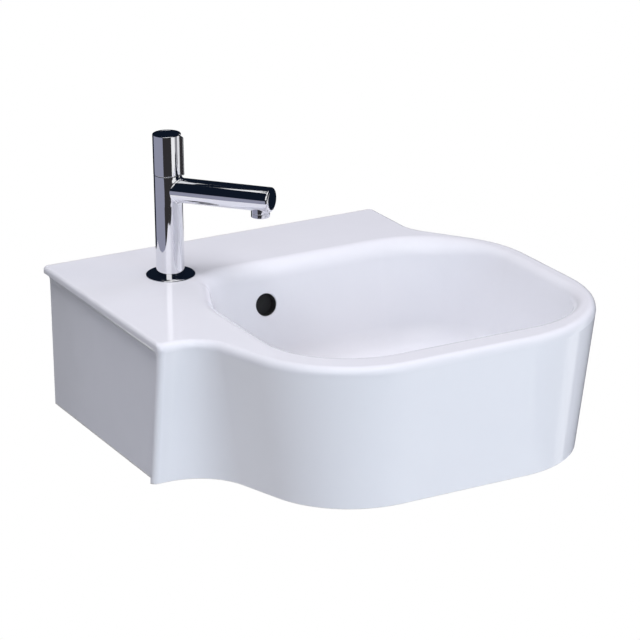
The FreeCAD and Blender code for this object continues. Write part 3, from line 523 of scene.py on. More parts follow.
class Wire:
    """One output of a finish's node, on which the usual operators add Math nodes."""

    def __init__(self, finish, socket):
        self.finish = finish
        self.socket = socket

    def out(self, name):
        return Wire(self.finish, self.socket.node.outputs[name])

    def maths(self, operation, *others, clamp=False):
        settings = {"operation": operation, "use_clamp": clamp}
        return self.finish.node("Math", settings, dict(enumerate((self, *others))))

    def __add__(self, other):
        return self.maths("ADD", other)

    __radd__ = __add__

    def __sub__(self, other):
        return self.maths("SUBTRACT", other)

    def __rsub__(self, other):
        return self.finish.node("Math", {"operation": "SUBTRACT"}, {0: other, 1: self})

    def __mul__(self, other):
        return self.maths("MULTIPLY", other)

    def __abs__(self):
        return self.maths("ABSOLUTE")

    def clamped(self):
        return self.maths("ADD", 0.0, clamp=True)


class Finish:
    """A material under construction: node adds any node, surface ends it in a glossy or matt skin."""

    def __init__(self, name):
        self.material = bpy.data.materials.new(name)
        self.material.use_nodes = True
        self.tree = self.material.node_tree
        self.tree.nodes.clear()

    def node(self, kind, settings=None, sockets=None):
        """A node of a type, with its settings and then its sockets' values or wires, by name or number."""
        made = self.tree.nodes.new("ShaderNode" + kind)
        for name, value in (settings or {}).items():
            setattr(made, name, value)
        usable = [socket for socket in made.inputs if socket.enabled]
        for key, value in (sockets or {}).items():
            socket = usable[key] if isinstance(key, int) else made.inputs[key]
            if isinstance(value, Wire):
                self.tree.links.new(value.socket, socket)
            else:
                socket.default_value = value
        return Wire(self, next((output for output in made.outputs if output.enabled), None))

    def place(self):
        return self.node("TexCoord").out("Object")

    def noise(self, scale, detail=2.0, stretch=None):
        place = self.place()
        if stretch:
            place = self.node("VectorMath", {"operation": "MULTIPLY"}, {0: place, 1: stretch})
        return self.node("TexNoise", None, {"Vector": place, "Scale": scale, "Detail": detail})

    def blend(self, share, first, second):
        """A colour between two, each a wire or red, green and blue."""
        tints = [tint if isinstance(tint, Wire) else (*tint, 1) for tint in (first, second)]
        return self.node("Mix", {"data_type": "RGBA"}, {0: share, 1: tints[0], 2: tints[1]})

    def bump(self, height, distance, strength=1.0):
        return self.node("Bump", None, {"Height": height, "Distance": distance, "Strength": strength})

    def surface(self, colour, roughness, normal, metallic=0.0):
        sockets = {"Base Color": colour, "Roughness": roughness, "Normal": normal, "Metallic": metallic}
        shader = self.node("BsdfPrincipled", None, sockets)
        self.node("OutputMaterial", None, {"Surface": shader})
        return self.material


OVERFLOW_MOUTH = 0.1205
OVERFLOW_SLOPE = 0.2075
OVERFLOW_LIT = 0.002
OVERFLOW_END = 0.031
BARE_BACK = -0.0012
BARE_FOOT = -0.0898


def glazed_china():
    """White glaze, faintly rippled where it ran, over a bare biscuit foot and back. The overflow's passage
    is painted dark beyond its first 2 mm: painted shade, as no light comes back from the duct behind it."""
    glaze = Finish("vitreous_china")
    ripple = glaze.noise(22.0)
    peel = glaze.noise(420.0)
    grain = glaze.noise(1600.0, 4.0)
    spot = glaze.node("SeparateXYZ", None, {"Vector": glaze.place()})

    def past(distance, sharpness):
        return (distance * sharpness).clamped()

    back = past(spot.out("Y") - BARE_BACK, 2500.0)
    foot = past(BARE_FOOT - spot.out("Z"), 2500.0)
    bare = back.maths("MAXIMUM", foot)
    height = spot.out("Z") - (DECK - OVERFLOW_DROP) * MM
    behind = spot.out("Y") + OVERFLOW_MOUTH
    # Mask of the painted shade inside the overflow's passage, past its lit first 2 mm.
    painted_duct_shade = past(behind - height * OVERFLOW_SLOPE - OVERFLOW_LIT, 1500.0)
    painted_duct_shade *= past(OVERFLOW_END - behind, 4000.0)
    painted_duct_shade *= past((OVERFLOW + 0.5) * MM - abs(spot.out("X")), 4000.0)
    painted_duct_shade *= past((OVERFLOW + 0.7) * MM - abs(height + behind * OVERFLOW_SLOPE), 4000.0)
    tone = glaze.blend(ripple, (0.84, 0.85, 0.875), (0.86, 0.87, 0.89))
    tone = glaze.blend(bare, tone, (0.74, 0.72, 0.68))
    # Painted shade: the overflow's passage is painted near black where the duct behind it would be in shade.
    tone = glaze.blend(painted_duct_shade, tone, (0.03, 0.03, 0.03))
    skin = (ripple * 0.9 + peel * 0.035) * (1 - bare) + grain * bare * 0.25
    return glaze.surface(tone, 0.075 + peel * 0.05 + bare * 0.6 + painted_duct_shade * 0.6,
                         glaze.bump(skin, 0.0006, 0.35))


piece("basin", build_casting, "basin", "basin_body", glazed_china())


# The tap body: a tapered pillar with a level spout, one brass casting polished and chrome plated. The
# spout grows out of the pillar through a small root, and carries a short boss for its outlet below.

TAP_TURN = math.radians(-50)
TAP_FRAME = Matrix.Translation(Vector((TAP.x, TAP.y, DECK)) * MM) @ Matrix.Rotation(TAP_TURN, 4, "Z")
FLANGE = 25.5
FLANGE_TOP = 2.5
PILLAR_TOP = 107.5
PILLAR_FOOT = 14.6
PILLAR_HEAD = 14.4
HEAD_BORE = 9.5
SPOUT_HEIGHT = 91.7
SPOUT = 12.7
SPOUT_REACH = 114.0
SPOUT_END = 2.5
SPOUT_ROOT = 2.6
OUTLET_REACH = 101.0
OUTLET = 9.6
OUTLET_LOW = 77.5
OUTLET_BORE = 8.3
BOSS_ROOT = 0.6


def pillar_radius(height):
    return PILLAR_FOOT + (PILLAR_HEAD - PILLAR_FOOT) * (height - FLANGE_TOP) / (PILLAR_TOP - FLANGE_TOP)


def at_turn(radius, turn, height):
    """The point at a radius and a turn about an upright axis."""
    return Vector((radius * cosine(turn), radius * sine(turn), height))


def in_frame(mesh, frame, vertices):
    """Set vertices that were built in millimetres into their place."""
    bmesh.ops.transform(mesh, matrix=frame @ Matrix.Scale(MM, 4), verts=vertices)


def square_spot(turn, half_width, half_height):
    """Where a ray from the middle of a rectangle meets its edge."""
    reach = max(abs(cosine(turn)), abs(sine(turn)))
    return half_width * cosine(turn) / reach, half_height * sine(turn) / reach


def opened_skin(mesh, skin, opening, turns, middle, half_sizes, low_rows, high_rows, columns):
    """The skin of a round bar with one opening in it. skin.point(turn, along) gives a point, opening is the
    ring already there, and the patch round it is a rectangle in which each ray keeps its turn."""
    half_width, half_height = half_sizes
    patch = [opening]
    spots = [square_spot(turn, half_width, half_height) for turn in turns]
    starts = [skin.flat(vertex) for vertex in opening]
    for step in range(1, 7):
        share = step / 6
        ring = []
        for (u, v), start in zip(spots, starts):
            across = start[0] + (middle[0] + u - start[0]) * share
            along = start[1] + (middle[1] + v - start[1]) * share
            ring.append(mesh.verts.new(skin.point(across, along)))
        patch.append(ring)
    join_all(mesh, patch)
    grid = {}
    for (u, v), vertex in zip(spots, patch[-1]):
        grid[(round(middle[0] + u, 3), round(middle[1] + v, 3))] = vertex
    across_rim = sorted({key[0] for key in grid if abs(abs(key[1] - middle[1]) - half_height) < 0.002})
    along_rim = sorted({key[1] for key in grid if abs(abs(key[0] - middle[0]) - half_width) < 0.002})
    around = across_rim + columns

    def vertex_at(across, along):
        key = (round(across, 3), round(along, 3))
        if key not in grid:
            grid[key] = mesh.verts.new(skin.point(across, along))
        return grid[key]

    rows = low_rows + along_rim + high_rows
    for first, second in zip(rows, rows[1:]):
        beside_patch = first >= along_rim[0] - 1e-6 and second <= along_rim[-1] + 1e-6
        for place, across in enumerate(around):
            if beside_patch and place < len(across_rim) - 1:
                continue
            following = around[(place + 1) % len(around)]
            mesh.faces.new((vertex_at(across, first), vertex_at(following, first),
                            vertex_at(following, second), vertex_at(across, second)))
    return [[vertex_at(across, along) for across in around] for along in (rows[0], rows[-1])]


class PillarSkin:
    """The pillar's tapered wall, by the turn about its axis and the height on it."""

    def point(self, turn, height):
        return at_turn(pillar_radius(height), turn, height)

    def flat(self, vertex):
        return turn_of(vertex.co.x, vertex.co.y), vertex.co.z


class SpoutSkin:
    """The spout's round wall, by the turn about its axis and the reach along it."""

    def point(self, turn, reach):
        return Vector((reach, SPOUT * cosine(turn), SPOUT_HEIGHT + SPOUT * sine(turn)))

    def flat(self, vertex):
        turn = turn_of(vertex.co.y, vertex.co.z - SPOUT_HEIGHT)
        return (turn if turn < 90 else turn - 360), vertex.co.x


def rolled_root(turns, far_radius, bar_radius, root, steps=6):
    """A rolled root between a round bar and a bigger one that it stands on, with the bar along X: loops of
    points from the big one's skin to the bar's."""
    rings = [[] for _ in range(steps + 1)]
    for turn in turns:
        y = (bar_radius + root) * cosine(turn)
        z = (bar_radius + root) * sine(turn)
        big = far_radius(z)
        heart = Vector((math.sqrt((big + root) ** 2 - y * y), y, z))
        on_big = Vector((heart.x * big / (big + root), y * big / (big + root), z))
        on_bar = Vector((heart.x, bar_radius * cosine(turn), bar_radius * sine(turn)))
        first = (on_big - heart).normalized()
        last = (on_bar - heart).normalized()
        for step, ring in enumerate(rings):
            ring.append(heart + first.slerp(last, step / steps) * root)
    return rings


def closed_off(mesh, start, profile, middle=0.0):
    """Carry a ring on through steps of (radius, height), each vertex at its own turn, and close the end."""
    turns = [turn_of(vertex.co.x - middle, vertex.co.y) for vertex in start]
    rings = [start]
    for radius, height in profile:
        spots = [at_turn(radius, turn, height) + Vector((middle, 0, 0)) for turn in turns]
        rings.append(ring_of(mesh, spots, 1))
    join_all(mesh, rings)
    mesh.faces.new(rings[-1])


def rounded_end(mesh, start, turns):
    """The spout's end: its edge rolled over a quarter turn, then flat."""
    tip = [start]
    for step in range(1, 9):
        bend = 90 * step / 8
        radius = SPOUT - SPOUT_END * (1 - cosine(bend))
        reach = SPOUT_REACH - SPOUT_END * (1 - sine(bend))
        spots = [(reach, radius * cosine(turn), SPOUT_HEIGHT + radius * sine(turn)) for turn in turns]
        tip.append(ring_of(mesh, spots, 1))
    join_all(mesh, tip)
    mesh.faces.new(tip[-1])


SPOUT_PATCH = (45 * tangent(55), 10.45)
PILLAR_PATCH = (72.0, 15.45)


def build_tap_body(mesh):
    """The pillar's wall opened for the spout, the spout's wall opened for the boss, and their ends."""
    rim = [-90 + SPOUT_PATCH[0] * cosine(turn) / abs(sine(turn)) for turn in range(135, 44, -5)]
    rim = [round(turn, 6) for turn in rim]
    near_side = [rim[-1] + (45 - rim[-1]) * step / 12 for step in range(1, 13)]
    crown = sorted(-turn for turn in rim if -135.01 < turn < -45.01)
    far_side = [135 + (rim[0] + 360 - 135) * step / 12 for step in range(1, 12)]
    columns = near_side + crown + far_side
    around = rim + columns

    root = rolled_root(around, lambda z: pillar_radius(SPOUT_HEIGHT + z), SPOUT, SPOUT_ROOT)
    root = [ring_of(mesh, [spot + Vector((0, 0, SPOUT_HEIGHT)) for spot in ring], 1) for ring in root]
    join_all(mesh, root)
    behind = [PILLAR_PATCH[0] + 12.0 * step for step in range(1, 18)]
    low, top = opened_skin(mesh, PillarSkin(), root[0], around, (0.0, SPOUT_HEIGHT), PILLAR_PATCH,
                           [FLANGE_TOP, 12.0, 30.0, 55.0], [], behind)
    mesh.faces.new(low)
    closed_off(mesh, top, [
        (PILLAR_HEAD - 0.1, PILLAR_TOP - 0.1),
        (PILLAR_HEAD - 0.35, PILLAR_TOP),
        (HEAD_BORE + 0.3, PILLAR_TOP),
        (HEAD_BORE, PILLAR_TOP - 0.3),
        (HEAD_BORE, PILLAR_TOP - 6),
    ])

    turns = [5.0 * step for step in range(72)]
    boss = rolled_root(turns, lambda z: SPOUT, OUTLET, BOSS_ROOT)
    boss = [ring_of(mesh, [(OUTLET_REACH - z, -y, SPOUT_HEIGHT - x) for x, y, z in ring], 1) for ring in boss]
    join_all(mesh, boss)
    low, end = opened_skin(mesh, SpoutSkin(), boss[0], [turn + 180 for turn in turns],
                           (-90.0, OUTLET_REACH), SPOUT_PATCH,
                           [24.0, 50.0, 78.0], [SPOUT_REACH - SPOUT_END], columns)
    join_rings(mesh, root[-1], low)
    rounded_end(mesh, end, around)
    closed_off(mesh, boss[-1], [
        (OUTLET, OUTLET_LOW + 0.3),
        (OUTLET - 0.1, OUTLET_LOW + 0.1),
        (OUTLET - 0.3, OUTLET_LOW),
        (OUTLET_BORE + 0.1, OUTLET_LOW),
        (OUTLET_BORE, OUTLET_LOW + 0.2),
        (OUTLET_BORE, OUTLET_LOW + 2),
    ], OUTLET_REACH)
    in_frame(mesh, TAP_FRAME, mesh.verts)


def plain_finish(name, patches, tints, relief, bump, roughness, metallic=0.0):
    """A finish whose tone drifts between two tints in patches and whose skin has a fine relief, both noise;
    roughness is its least, then what the patches and what the relief add to it."""
    finish = Finish(name)
    patch = finish.noise(*patches)
    grain = finish.noise(*relief)
    least, patchy, grainy = roughness
    return finish.surface(finish.blend(patch, *tints), least + patch * patchy + grain * grainy,
                          finish.bump(grain, *bump), metallic)


# Bright plate with the faint unevenness of a hand polished casting.
CHROME = plain_finish("chrome_plate", (260.0, 3.0), ((0.80, 0.80, 0.83), (0.84, 0.845, 0.87)),
                      (30.0,), (0.0002, 0.12), (0.035, 0.03, 0.0), metallic=1.0)
piece("tap_pillar_and_spout", build_tap_body, "basin", "tap_body", CHROME)


# The flange under the pillar: a thin turned and plated disc that covers the tap hole, eased at its rim,
# with a rubber ring let into its underside.

FLANGE_BORE = 10.45
FLANGE_EDGE = 0.4
FLANGE_ROLL = 2.6
SEAL_GROOVE = (18.35, 22.05, 1.2)


def eased(corners, steps=5):
    """A profile whose corners (radius, height, ease) are rounded by their ease."""
    points = []
    for place, corner in enumerate(corners):
        here = Vector(corner[:2])
        ease = corner[2] if len(corner) > 2 else 0
        if not ease:
            points.append(here)
            continue
        before = (Vector(corners[place - 1][:2]) - here).normalized()
        after = (Vector(corners[(place + 1) % len(corners)][:2]) - here).normalized()
        half = before.angle(after) / 2
        heart = here + (before + after).normalized() * ease / math.sin(half)
        first = here + before * ease / math.tan(half) - heart
        last = here + after * ease / math.tan(half) - heart
        for step in range(steps + 1):
            points.append(heart + first.normalized().slerp(last.normalized(), step / steps) * ease)
    return points


def round_ring(mesh, radius, height, count):
    """Vertices of a level circle about a frame's axis, or the one vertex on it."""
    if radius < 1e-6:
        count = 1
    return ring_of(mesh, [at_turn(radius, 360 * step / count, height) for step in range(count)], 1)


def turned(mesh, frame, corners, count):
    """A ring or a solid turned about a frame's axis from a closed profile."""
    spun = [round_ring(mesh, point.x, point.y, count) for point in eased(corners)]
    for place, near in enumerate(spun):
        far = spun[(place + 1) % len(spun)]
        if len(near) == 1 and len(far) == 1:
            continue
        for step in range(count):
            after = (step + 1) % count
            if len(near) == 1:
                mesh.faces.new((near[0], far[after], far[step]))
            elif len(far) == 1:
                mesh.faces.new((near[step], near[after], far[0]))
            else:
                mesh.faces.new((near[step], near[after], far[after], far[step]))
    in_frame(mesh, frame, mesh.verts)


def turned_in_chrome(name, body, node, frame, corners, count=72):
    """A plated piece turned about a frame's axis, in place of its node."""
    piece(name, lambda mesh: turned(mesh, frame, corners, count), body, node, CHROME)


def flange_rim():
    """The rolled rim from its short upright edge to the flat top."""
    rise = FLANGE_TOP - FLANGE_EDGE
    return [(FLANGE - FLANGE_ROLL * (1 - cosine(turn)), FLANGE_EDGE + rise * sine(turn))
            for turn in range(0, 91, 10)]


turned_in_chrome("tap_flange", "basin", "tap_base_flange", TAP_FRAME, [
    (FLANGE_BORE, 0.0),
    (SEAL_GROOVE[0], 0.0),
    (SEAL_GROOVE[0], SEAL_GROOVE[2]),
    (SEAL_GROOVE[1], SEAL_GROOVE[2]),
    (SEAL_GROOVE[1], 0.0),
    (FLANGE, 0.0, 0.1),
    *flange_rim(),
    (FLANGE_BORE, FLANGE_TOP),
], count=96)


# The handle: a deep cup over the valve, turned and plated, with a straight rib down the side over the
# spout for the fingers. A thin cap lies in its top, let in a little, over the screw that holds it.

KNOB_LOW = 107.9
KNOB_TOP = 150.0
KNOB = 14.5
RIB_FOOT = 1.55
RIB_TIP = 1.05
RIB_REACH = 3.6
RIB_SLOPE = 2.8
RIB_EASE = 0.45
RIB_ROOT = 0.6
KNOB_EASE = 0.8
CAP = 12.5
CAP_LOW = 147.5
CAP_TOP = 149.6
SCREW_HEAD_HOLE = 4.4
SCREW_SEAT = 135.6
SCREW_HOLE = 2.05
SPINDLE_TOP = 134.4
SPINDLE_HOLE = 4.05
CUP_TOP = 124.0
CUP = 11.7


def knob_section():
    """The handle from above: a circle, and a rib with drafted flanks, eased corners and small roots."""
    root = math.degrees(math.asin(RIB_FOOT / KNOB))
    corners = [
        (KNOB + RIB_REACH, 0.0),
        (KNOB + RIB_REACH, RIB_TIP, RIB_EASE),
        (KNOB * cosine(root), RIB_FOOT, RIB_ROOT),
    ]
    for step in range(31):
        turn = root + 5 + (175 - root) * step / 30
        corners.append((KNOB * cosine(turn), KNOB * sine(turn)))
    half_side = [tuple(point) for point in eased(corners, 4)]
    mirrored = [(x, -y) for x, y in reversed(half_side[1:-1])]
    return half_side + mirrored


def build_knob(mesh):
    """The handle's outside from below to its top, then its bores from the cap's recess down to the cup."""
    section = knob_section()

    def ring(inset, height_at):
        points = []
        for x, y in section:
            radius = math.hypot(x, y)
            shrink = (radius - inset) / radius
            points.append((x * shrink, y * shrink, height_at(radius)))
        return ring_of(mesh, points, 1)

    def top_at(radius):
        return KNOB_TOP - RIB_SLOPE * max(0.0, radius - KNOB) / RIB_REACH

    rings = []
    for inset, rise in ((0.5, 0.0), (0.15, 0.12), (0.0, 0.5)):
        rings.append(ring(inset, lambda radius: KNOB_LOW + rise))
    for share in (0.25, 0.5, 0.75):
        rings.append(ring(0.0, lambda radius: KNOB_LOW + (top_at(radius) - KNOB_LOW) * share))
    for step in range(6):
        turn = 90 * step / 5
        drop = KNOB_EASE * (1 - sine(turn))
        rings.append(ring(KNOB_EASE * (1 - cosine(turn)), lambda radius: top_at(radius) - drop))
    recess = CAP + 0.05
    turns = [turn_of(x, y) for x, y in section]
    for radius, height in (
        (recess + 0.3, KNOB_TOP),
        (recess + 0.08, KNOB_TOP - 0.08),
        (recess, KNOB_TOP - 0.3),
        (recess, CAP_LOW),
        (SCREW_HEAD_HOLE, CAP_LOW),
        (SCREW_HEAD_HOLE, SCREW_SEAT),
        (SCREW_HOLE, SCREW_SEAT),
        (SCREW_HOLE, SPINDLE_TOP),
        (SPINDLE_HOLE, SPINDLE_TOP),
        (SPINDLE_HOLE, CUP_TOP),
        (CUP, CUP_TOP),
        (CUP, KNOB_LOW),
    ):
        rings.append(ring_of(mesh, [at_turn(radius, turn, height) for turn in turns], 1))
    join_all(mesh, rings + rings[:1])
    in_frame(mesh, TAP_FRAME, mesh.verts)


piece("tap_handle", build_knob, "knob", "tap_knob", CHROME)

turned_in_chrome("handle_cap", "knob", "knob_cap", TAP_FRAME, [
    (0.0, CAP_LOW - 3.0),
    (SCREW_HEAD_HOLE - 0.1, CAP_LOW - 3.0),
    (SCREW_HEAD_HOLE - 0.1, CAP_LOW),
    (CAP, CAP_LOW),
    (CAP, CAP_TOP, 0.35),
    (0.0, CAP_TOP),
])


# The outlet: a collar screwed up into the spout, plated outside, that holds a white plastic insert with
# a grid of small cells. The insert breaks the water into a soft stream.

OUTLET_FRAME = TAP_FRAME @ Matrix.Translation(Vector((OUTLET_REACH, 0, 0)) * MM)
COLLAR_LOW = 73.0
COLLAR_TOP = 82.0
COLLAR_BORE = 7.0
COLLAR_LIP = 0.8
CELL = 1.7
CELLS_REACH = 5.0
CELL_DEPTH = 1.6

turned_in_chrome("outlet_collar", "basin", "aerator_housing", OUTLET_FRAME, [
    (COLLAR_BORE - COLLAR_LIP, COLLAR_LOW, 0.2),
    (OUTLET, COLLAR_LOW, 0.6),
    (OUTLET, OUTLET_LOW - 0.02, 0.2),
    (8.2, OUTLET_LOW - 0.02),
    (8.2, COLLAR_TOP),
    (COLLAR_BORE, COLLAR_TOP),
    (COLLAR_BORE, COLLAR_LOW + COLLAR_LIP),
    (COLLAR_BORE - COLLAR_LIP, COLLAR_LOW + COLLAR_LIP, 0.2),
])


def build_insert(mesh):
    """A disc with six sided cells through it, on a plain core."""
    low = COLLAR_LOW + COLLAR_LIP
    cells = []
    for row in range(-4, 5):
        for column in range(-4, 5):
            x = CELL * (column + row / 2)
            y = CELL * row * cosine(30)
            if math.hypot(x, y) < CELLS_REACH:
                cells.append((x, y))

    def six_sided(radius, x, y, height):
        middle = Vector((x, y, 0))
        return ring_of(mesh, [middle + at_turn(radius, 60 * step + 30, height) for step in range(6)], 1)

    mouths = [six_sided(CELL * 0.46, x, y, low) for x, y in cells]
    rim = round_ring(mesh, COLLAR_BORE - 0.05, low, 48)
    fill_between(mesh, [rim, *mouths], (0, 0, -1))
    for (x, y), mouth in zip(cells, mouths):
        end = six_sided(CELL * 0.4, x, y, low + CELL_DEPTH)
        join_rings(mesh, mouth, end)
        mesh.faces.new(end)
    top = round_ring(mesh, COLLAR_BORE - 0.05, COLLAR_TOP, 48)
    join_rings(mesh, rim, top)
    mesh.faces.new(top)
    in_frame(mesh, OUTLET_FRAME, mesh.verts)


# Moulded acetal: milky, a little soft in its shine, with the faintest mould grain.
WHITE_PLASTIC = plain_finish("white_plastic", (180.0, 3.0), ((0.70, 0.71, 0.69), (0.76, 0.77, 0.75)),
                             (2400.0,), (0.00005, 0.5), (0.34, 0.1, 0.0))
piece("outlet_insert", build_insert, "basin", "aerator_insert", WHITE_PLASTIC)


# The tap's fixing under the deck: a threaded brass tail, a rubber washer and a steel plate against the
# china, and a brass nut. Valve, seals and discs sit inside the tap and keep their plain shapes.

# Brass with the fine rings that the lathe leaves, and a few duller patches.
BRASS = plain_finish("brass", (45.0, 4.0), ((0.74, 0.55, 0.27), (0.62, 0.44, 0.20)),
                     (900.0, 2.0, (0.02, 0.02, 1.0)), (0.00006, 0.5), (0.22, 0.22, 0.06), metallic=1.0)
# Black rubber, matt, dusty in places.
RUBBER = plain_finish("rubber", (60.0, 4.0), ((0.018, 0.018, 0.019), (0.045, 0.045, 0.046)),
                      (1800.0, 3.0), (0.00006, 0.6), (0.62, 0.2, 0.0))
# Zinc plated steel with a drawn grain.
STEEL = plain_finish("steel", (35.0, 3.0), ((0.58, 0.58, 0.57), (0.66, 0.66, 0.64)),
                     (500.0, 3.0, (1.0, 0.04, 1.0)), (0.00005, 0.5), (0.3, 0.0, 0.14), metallic=1.0)
# Valve discs of fine alumina, ivory and almost mirror flat.
CERAMIC = plain_finish("valve_ceramic", (700.0, 4.0), ((0.80, 0.77, 0.70), (0.86, 0.83, 0.77)),
                       (700.0, 4.0), (0.00002, 0.4), (0.12, 0.08, 0.0))


def threaded_bar(mesh, frame, radius, bore, low, high, depth, pitch, count=48):
    """A tube with a helical thread: the ridge climbs one pitch in a turn and fades out at both ends."""
    rows = round((high - low) / pitch * 8)

    def wall(height, turn):
        phase = ((height - low) / pitch - turn / 360) % 1.0
        ridge = min(1.0, max(0.0, 2.4 * abs(phase - 0.5) - 0.1))
        fade = min(1.0, (height - low) / pitch, (high - height) / pitch)
        return radius - depth * (1 - ridge) * max(0.0, fade) - (0.8 if height - low < 1e-6 else 0.0)

    rings = []
    for row in range(rows + 1):
        height = low + (high - low) * row / rows
        turns = [360 * step / count for step in range(count)]
        rings.append(ring_of(mesh, [at_turn(wall(height, turn), turn, height) for turn in turns], 1))
    rings += [round_ring(mesh, bore, height, count) for height in (high, low)]
    join_all(mesh, rings + rings[:1])
    in_frame(mesh, frame, [vertex for ring in rings for vertex in ring])


NUT_EASE = 0.7
NUT_CROWN = 0.97
NUT_CHAMFER = tangent(30)


def hexagon_nut(mesh, frame, flats, bore, low, high, count=72):
    """A hexagon nut whose corners are turned off at both faces, with an eased bore."""
    crown = flats / 2 * NUT_CROWN

    def cornered(height, inward):
        """The six sides at a face, where the turned-off corners lie inward by their reach past the crown."""
        ring = []
        for step in range(count):
            turn = 360 * step / count
            radius = flats / 2 / cosine((turn + 30) % 60 - 30)
            ring.append(at_turn(radius, turn, height + inward * (radius - crown) * NUT_CHAMFER))
        return ring_of(mesh, ring, 1)

    rings = [
        round_ring(mesh, bore, low + NUT_EASE, count),
        round_ring(mesh, bore + NUT_EASE, low, count),
        round_ring(mesh, crown, low, count),
        cornered(low, 1),
        cornered(high, -1),
        round_ring(mesh, crown, high, count),
        round_ring(mesh, bore + NUT_EASE, high, count),
        round_ring(mesh, bore, high - NUT_EASE, count),
    ]
    join_all(mesh, rings + rings[:1])
    in_frame(mesh, frame, mesh.verts)


def build_tail(mesh):
    """The tail's thick thread for the nut, and below it the thinner one for the supply."""
    threaded_bar(mesh, TAP_FRAME, 10.4, 6.5, -33.0, 14.5, 0.9, 1.8)
    threaded_bar(mesh, TAP_FRAME, 8.3, 6.5, -55.0, -32.9, 0.7, 1.3)


piece("tap_tail", build_tail, "basin", "tap_shank", BRASS)
piece("tap_nut", lambda mesh: hexagon_nut(mesh, TAP_FRAME, 30.0, 10.45, -28.0, -19.0),
      "basin", "tap_back_nut", BRASS)

for material, nodes in (
    (RUBBER, ("tap_base_seal", "tap_clamp_washer", "headwork_seat_seal", "headwork_waist_seal",
              "aerator_seal", "waste_upper_seal", "waste_lower_seal", "plug_seal")),
    (BRASS, ("headwork_body", "tap_spindle", "click_cartridge", "plug_stem")),
    (STEEL, ("tap_clamp_plate", "knob_screw")),
    (CERAMIC, ("fixed_ceramic_disc", "turning_ceramic_disc")),
    (WHITE_PLASTIC, ("waste_slip_washer",)),
    (CHROME, ("waste_body",)),
):
    for node in nodes:
        carried = bpy.data.objects[node].data
        carried.materials.clear()
        carried.materials.append(material)


# The waste: a plated rim in the drain's seat on a threaded, slotted tube, clamped from below by a seal,
# a washer and a big nut. A domed plug on a catch closes it at a push.

WASTE_FRAME = Matrix.Translation(Vector((DRAIN.x, DRAIN.y, DECK - BOWL_DEPTH)) * MM)
PLUG_LOW = 10.5

piece("waste_nut", lambda mesh: hexagon_nut(mesh, WASTE_FRAME, 52.0, 21.0, -57.5, -47.5),
      "basin", "waste_back_nut", BRASS)

turned_in_chrome("waste_cap", "plug", "waste_plug", WASTE_FRAME, [
    (3.55, PLUG_LOW - 4.0),
    (16.0, PLUG_LOW - 4.0, 0.5),
    (16.0, PLUG_LOW),
    (31.0, PLUG_LOW, 0.3),
    (31.0, PLUG_LOW + 2.0, 0.9),
    (26.0, PLUG_LOW + 2.9, 20.0),
    (12.0, PLUG_LOW + 3.9, 30.0),
    (0.0, PLUG_LOW + 4.0),
    (0.0, PLUG_LOW),
    (3.55, PLUG_LOW),
], count=96)


# The studio: a white floor well below the basin, white surroundings and six soft lamps. Chrome would
# turn white all over in it, so cards hang round the tap, dark and white, that only mirrors see.

LENS = 168.3
STAND = Vector((-1.3262, -2.7179, 1.0439))
BEARING = 28.125
PITCH = 19.632
ROLL = 0.691
FLOOR = -0.79
WORLD_LEVEL = 0.15


def plain_plane(name, centre, facing, width, height):
    """A flat rectangle with its middle and its facing given."""
    mesh = bmesh.new()
    turn = Vector(facing).to_track_quat("Z", "Y").to_matrix().to_4x4()
    half = Vector((width / 2, height / 2, 0))
    spots = [half * Vector(way) for way in ((-1, -1, 0), (1, -1, 0), (1, 1, 0), (-1, 1, 0))]
    mesh.faces.new(ring_of(mesh, [Vector(centre) + turn @ spot for spot in spots], 1))
    return set_in_scene(name, mesh)


def white_to_sight(finish, seen, lit):
    """White where a camera, a mirror or glass looks at it, and otherwise the given shader."""
    path = finish.node("LightPath")
    sight = path.out("Is Camera Ray").maths("MAXIMUM", path.out("Is Glossy Ray"))
    sight = sight.maths("MAXIMUM", path.out("Is Transmission Ray"))
    return finish.node("MixShader", None, {0: sight, 1: lit, 2: seen})


floor = plain_plane("floor", (0, 0, FLOOR), (0, 0, 1), 12, 12)
paper = Finish("floor_paper")
matt = paper.node("BsdfDiffuse", None, {"Color": (0.9, 0.9, 0.9, 1)})
white = paper.node("Emission", None, {"Color": (1, 1, 1, 1), "Strength": 1.0})
paper.node("OutputMaterial", None, {"Surface": white_to_sight(paper, white, matt)})
floor.data.materials.append(paper.material)


class Surroundings(Finish):
    """The world's node tree, worked on like a finish."""

    def __init__(self, world):
        world.use_nodes = True
        self.tree = world.node_tree
        self.tree.nodes.clear()


bpy.context.scene.world = bpy.data.worlds.new("surroundings")
sky = Surroundings(bpy.context.scene.world)
soft = sky.node("Background", None, {"Color": (0.93, 0.96, 1.0, 1), "Strength": WORLD_LEVEL})
white = sky.node("Background", None, {"Color": (1, 1, 1, 1), "Strength": 1.0})
sky.node("OutputWorld", None, {"Surface": white_to_sight(sky, white, soft)})


NAVY = (0.006, 0.010, 0.020)
CHARCOAL = (0.035, 0.033, 0.035)
LILAC = (0.30, 0.31, 0.40)
GREY = (0.30, 0.30, 0.32)
WHITE = (1.0, 1.0, 1.0)
CARDS_LOW = -0.78
EYE = 0.13
ROOF = 1.5
UNDER_ROOF = ROOF - 0.02
TAP_X = TAP.x * MM
TAP_Y = TAP.y * MM


def hung(made, colour):
    """Give a card its one colour and hide it from all but mirrors."""
    face = Finish(made.name)
    glow = face.node("Emission", None, {"Color": (*colour, 1), "Strength": 1.0})
    face.node("OutputMaterial", None, {"Surface": glow})
    made.data.materials.append(face.material)
    for sense in ("camera", "diffuse", "transmission", "volume_scatter", "shadow"):
        setattr(made, "visible_" + sense, False)


def stretched(name, low, high, colour):
    """A card between two rows of points."""
    mesh = bmesh.new()
    low, high = ring_of(mesh, low, 1), ring_of(mesh, high, 1)
    for place in range(len(low) - 1):
        mesh.faces.new((low[place], low[place + 1], high[place + 1], high[place]))
    hung(set_in_scene(name, mesh), colour)


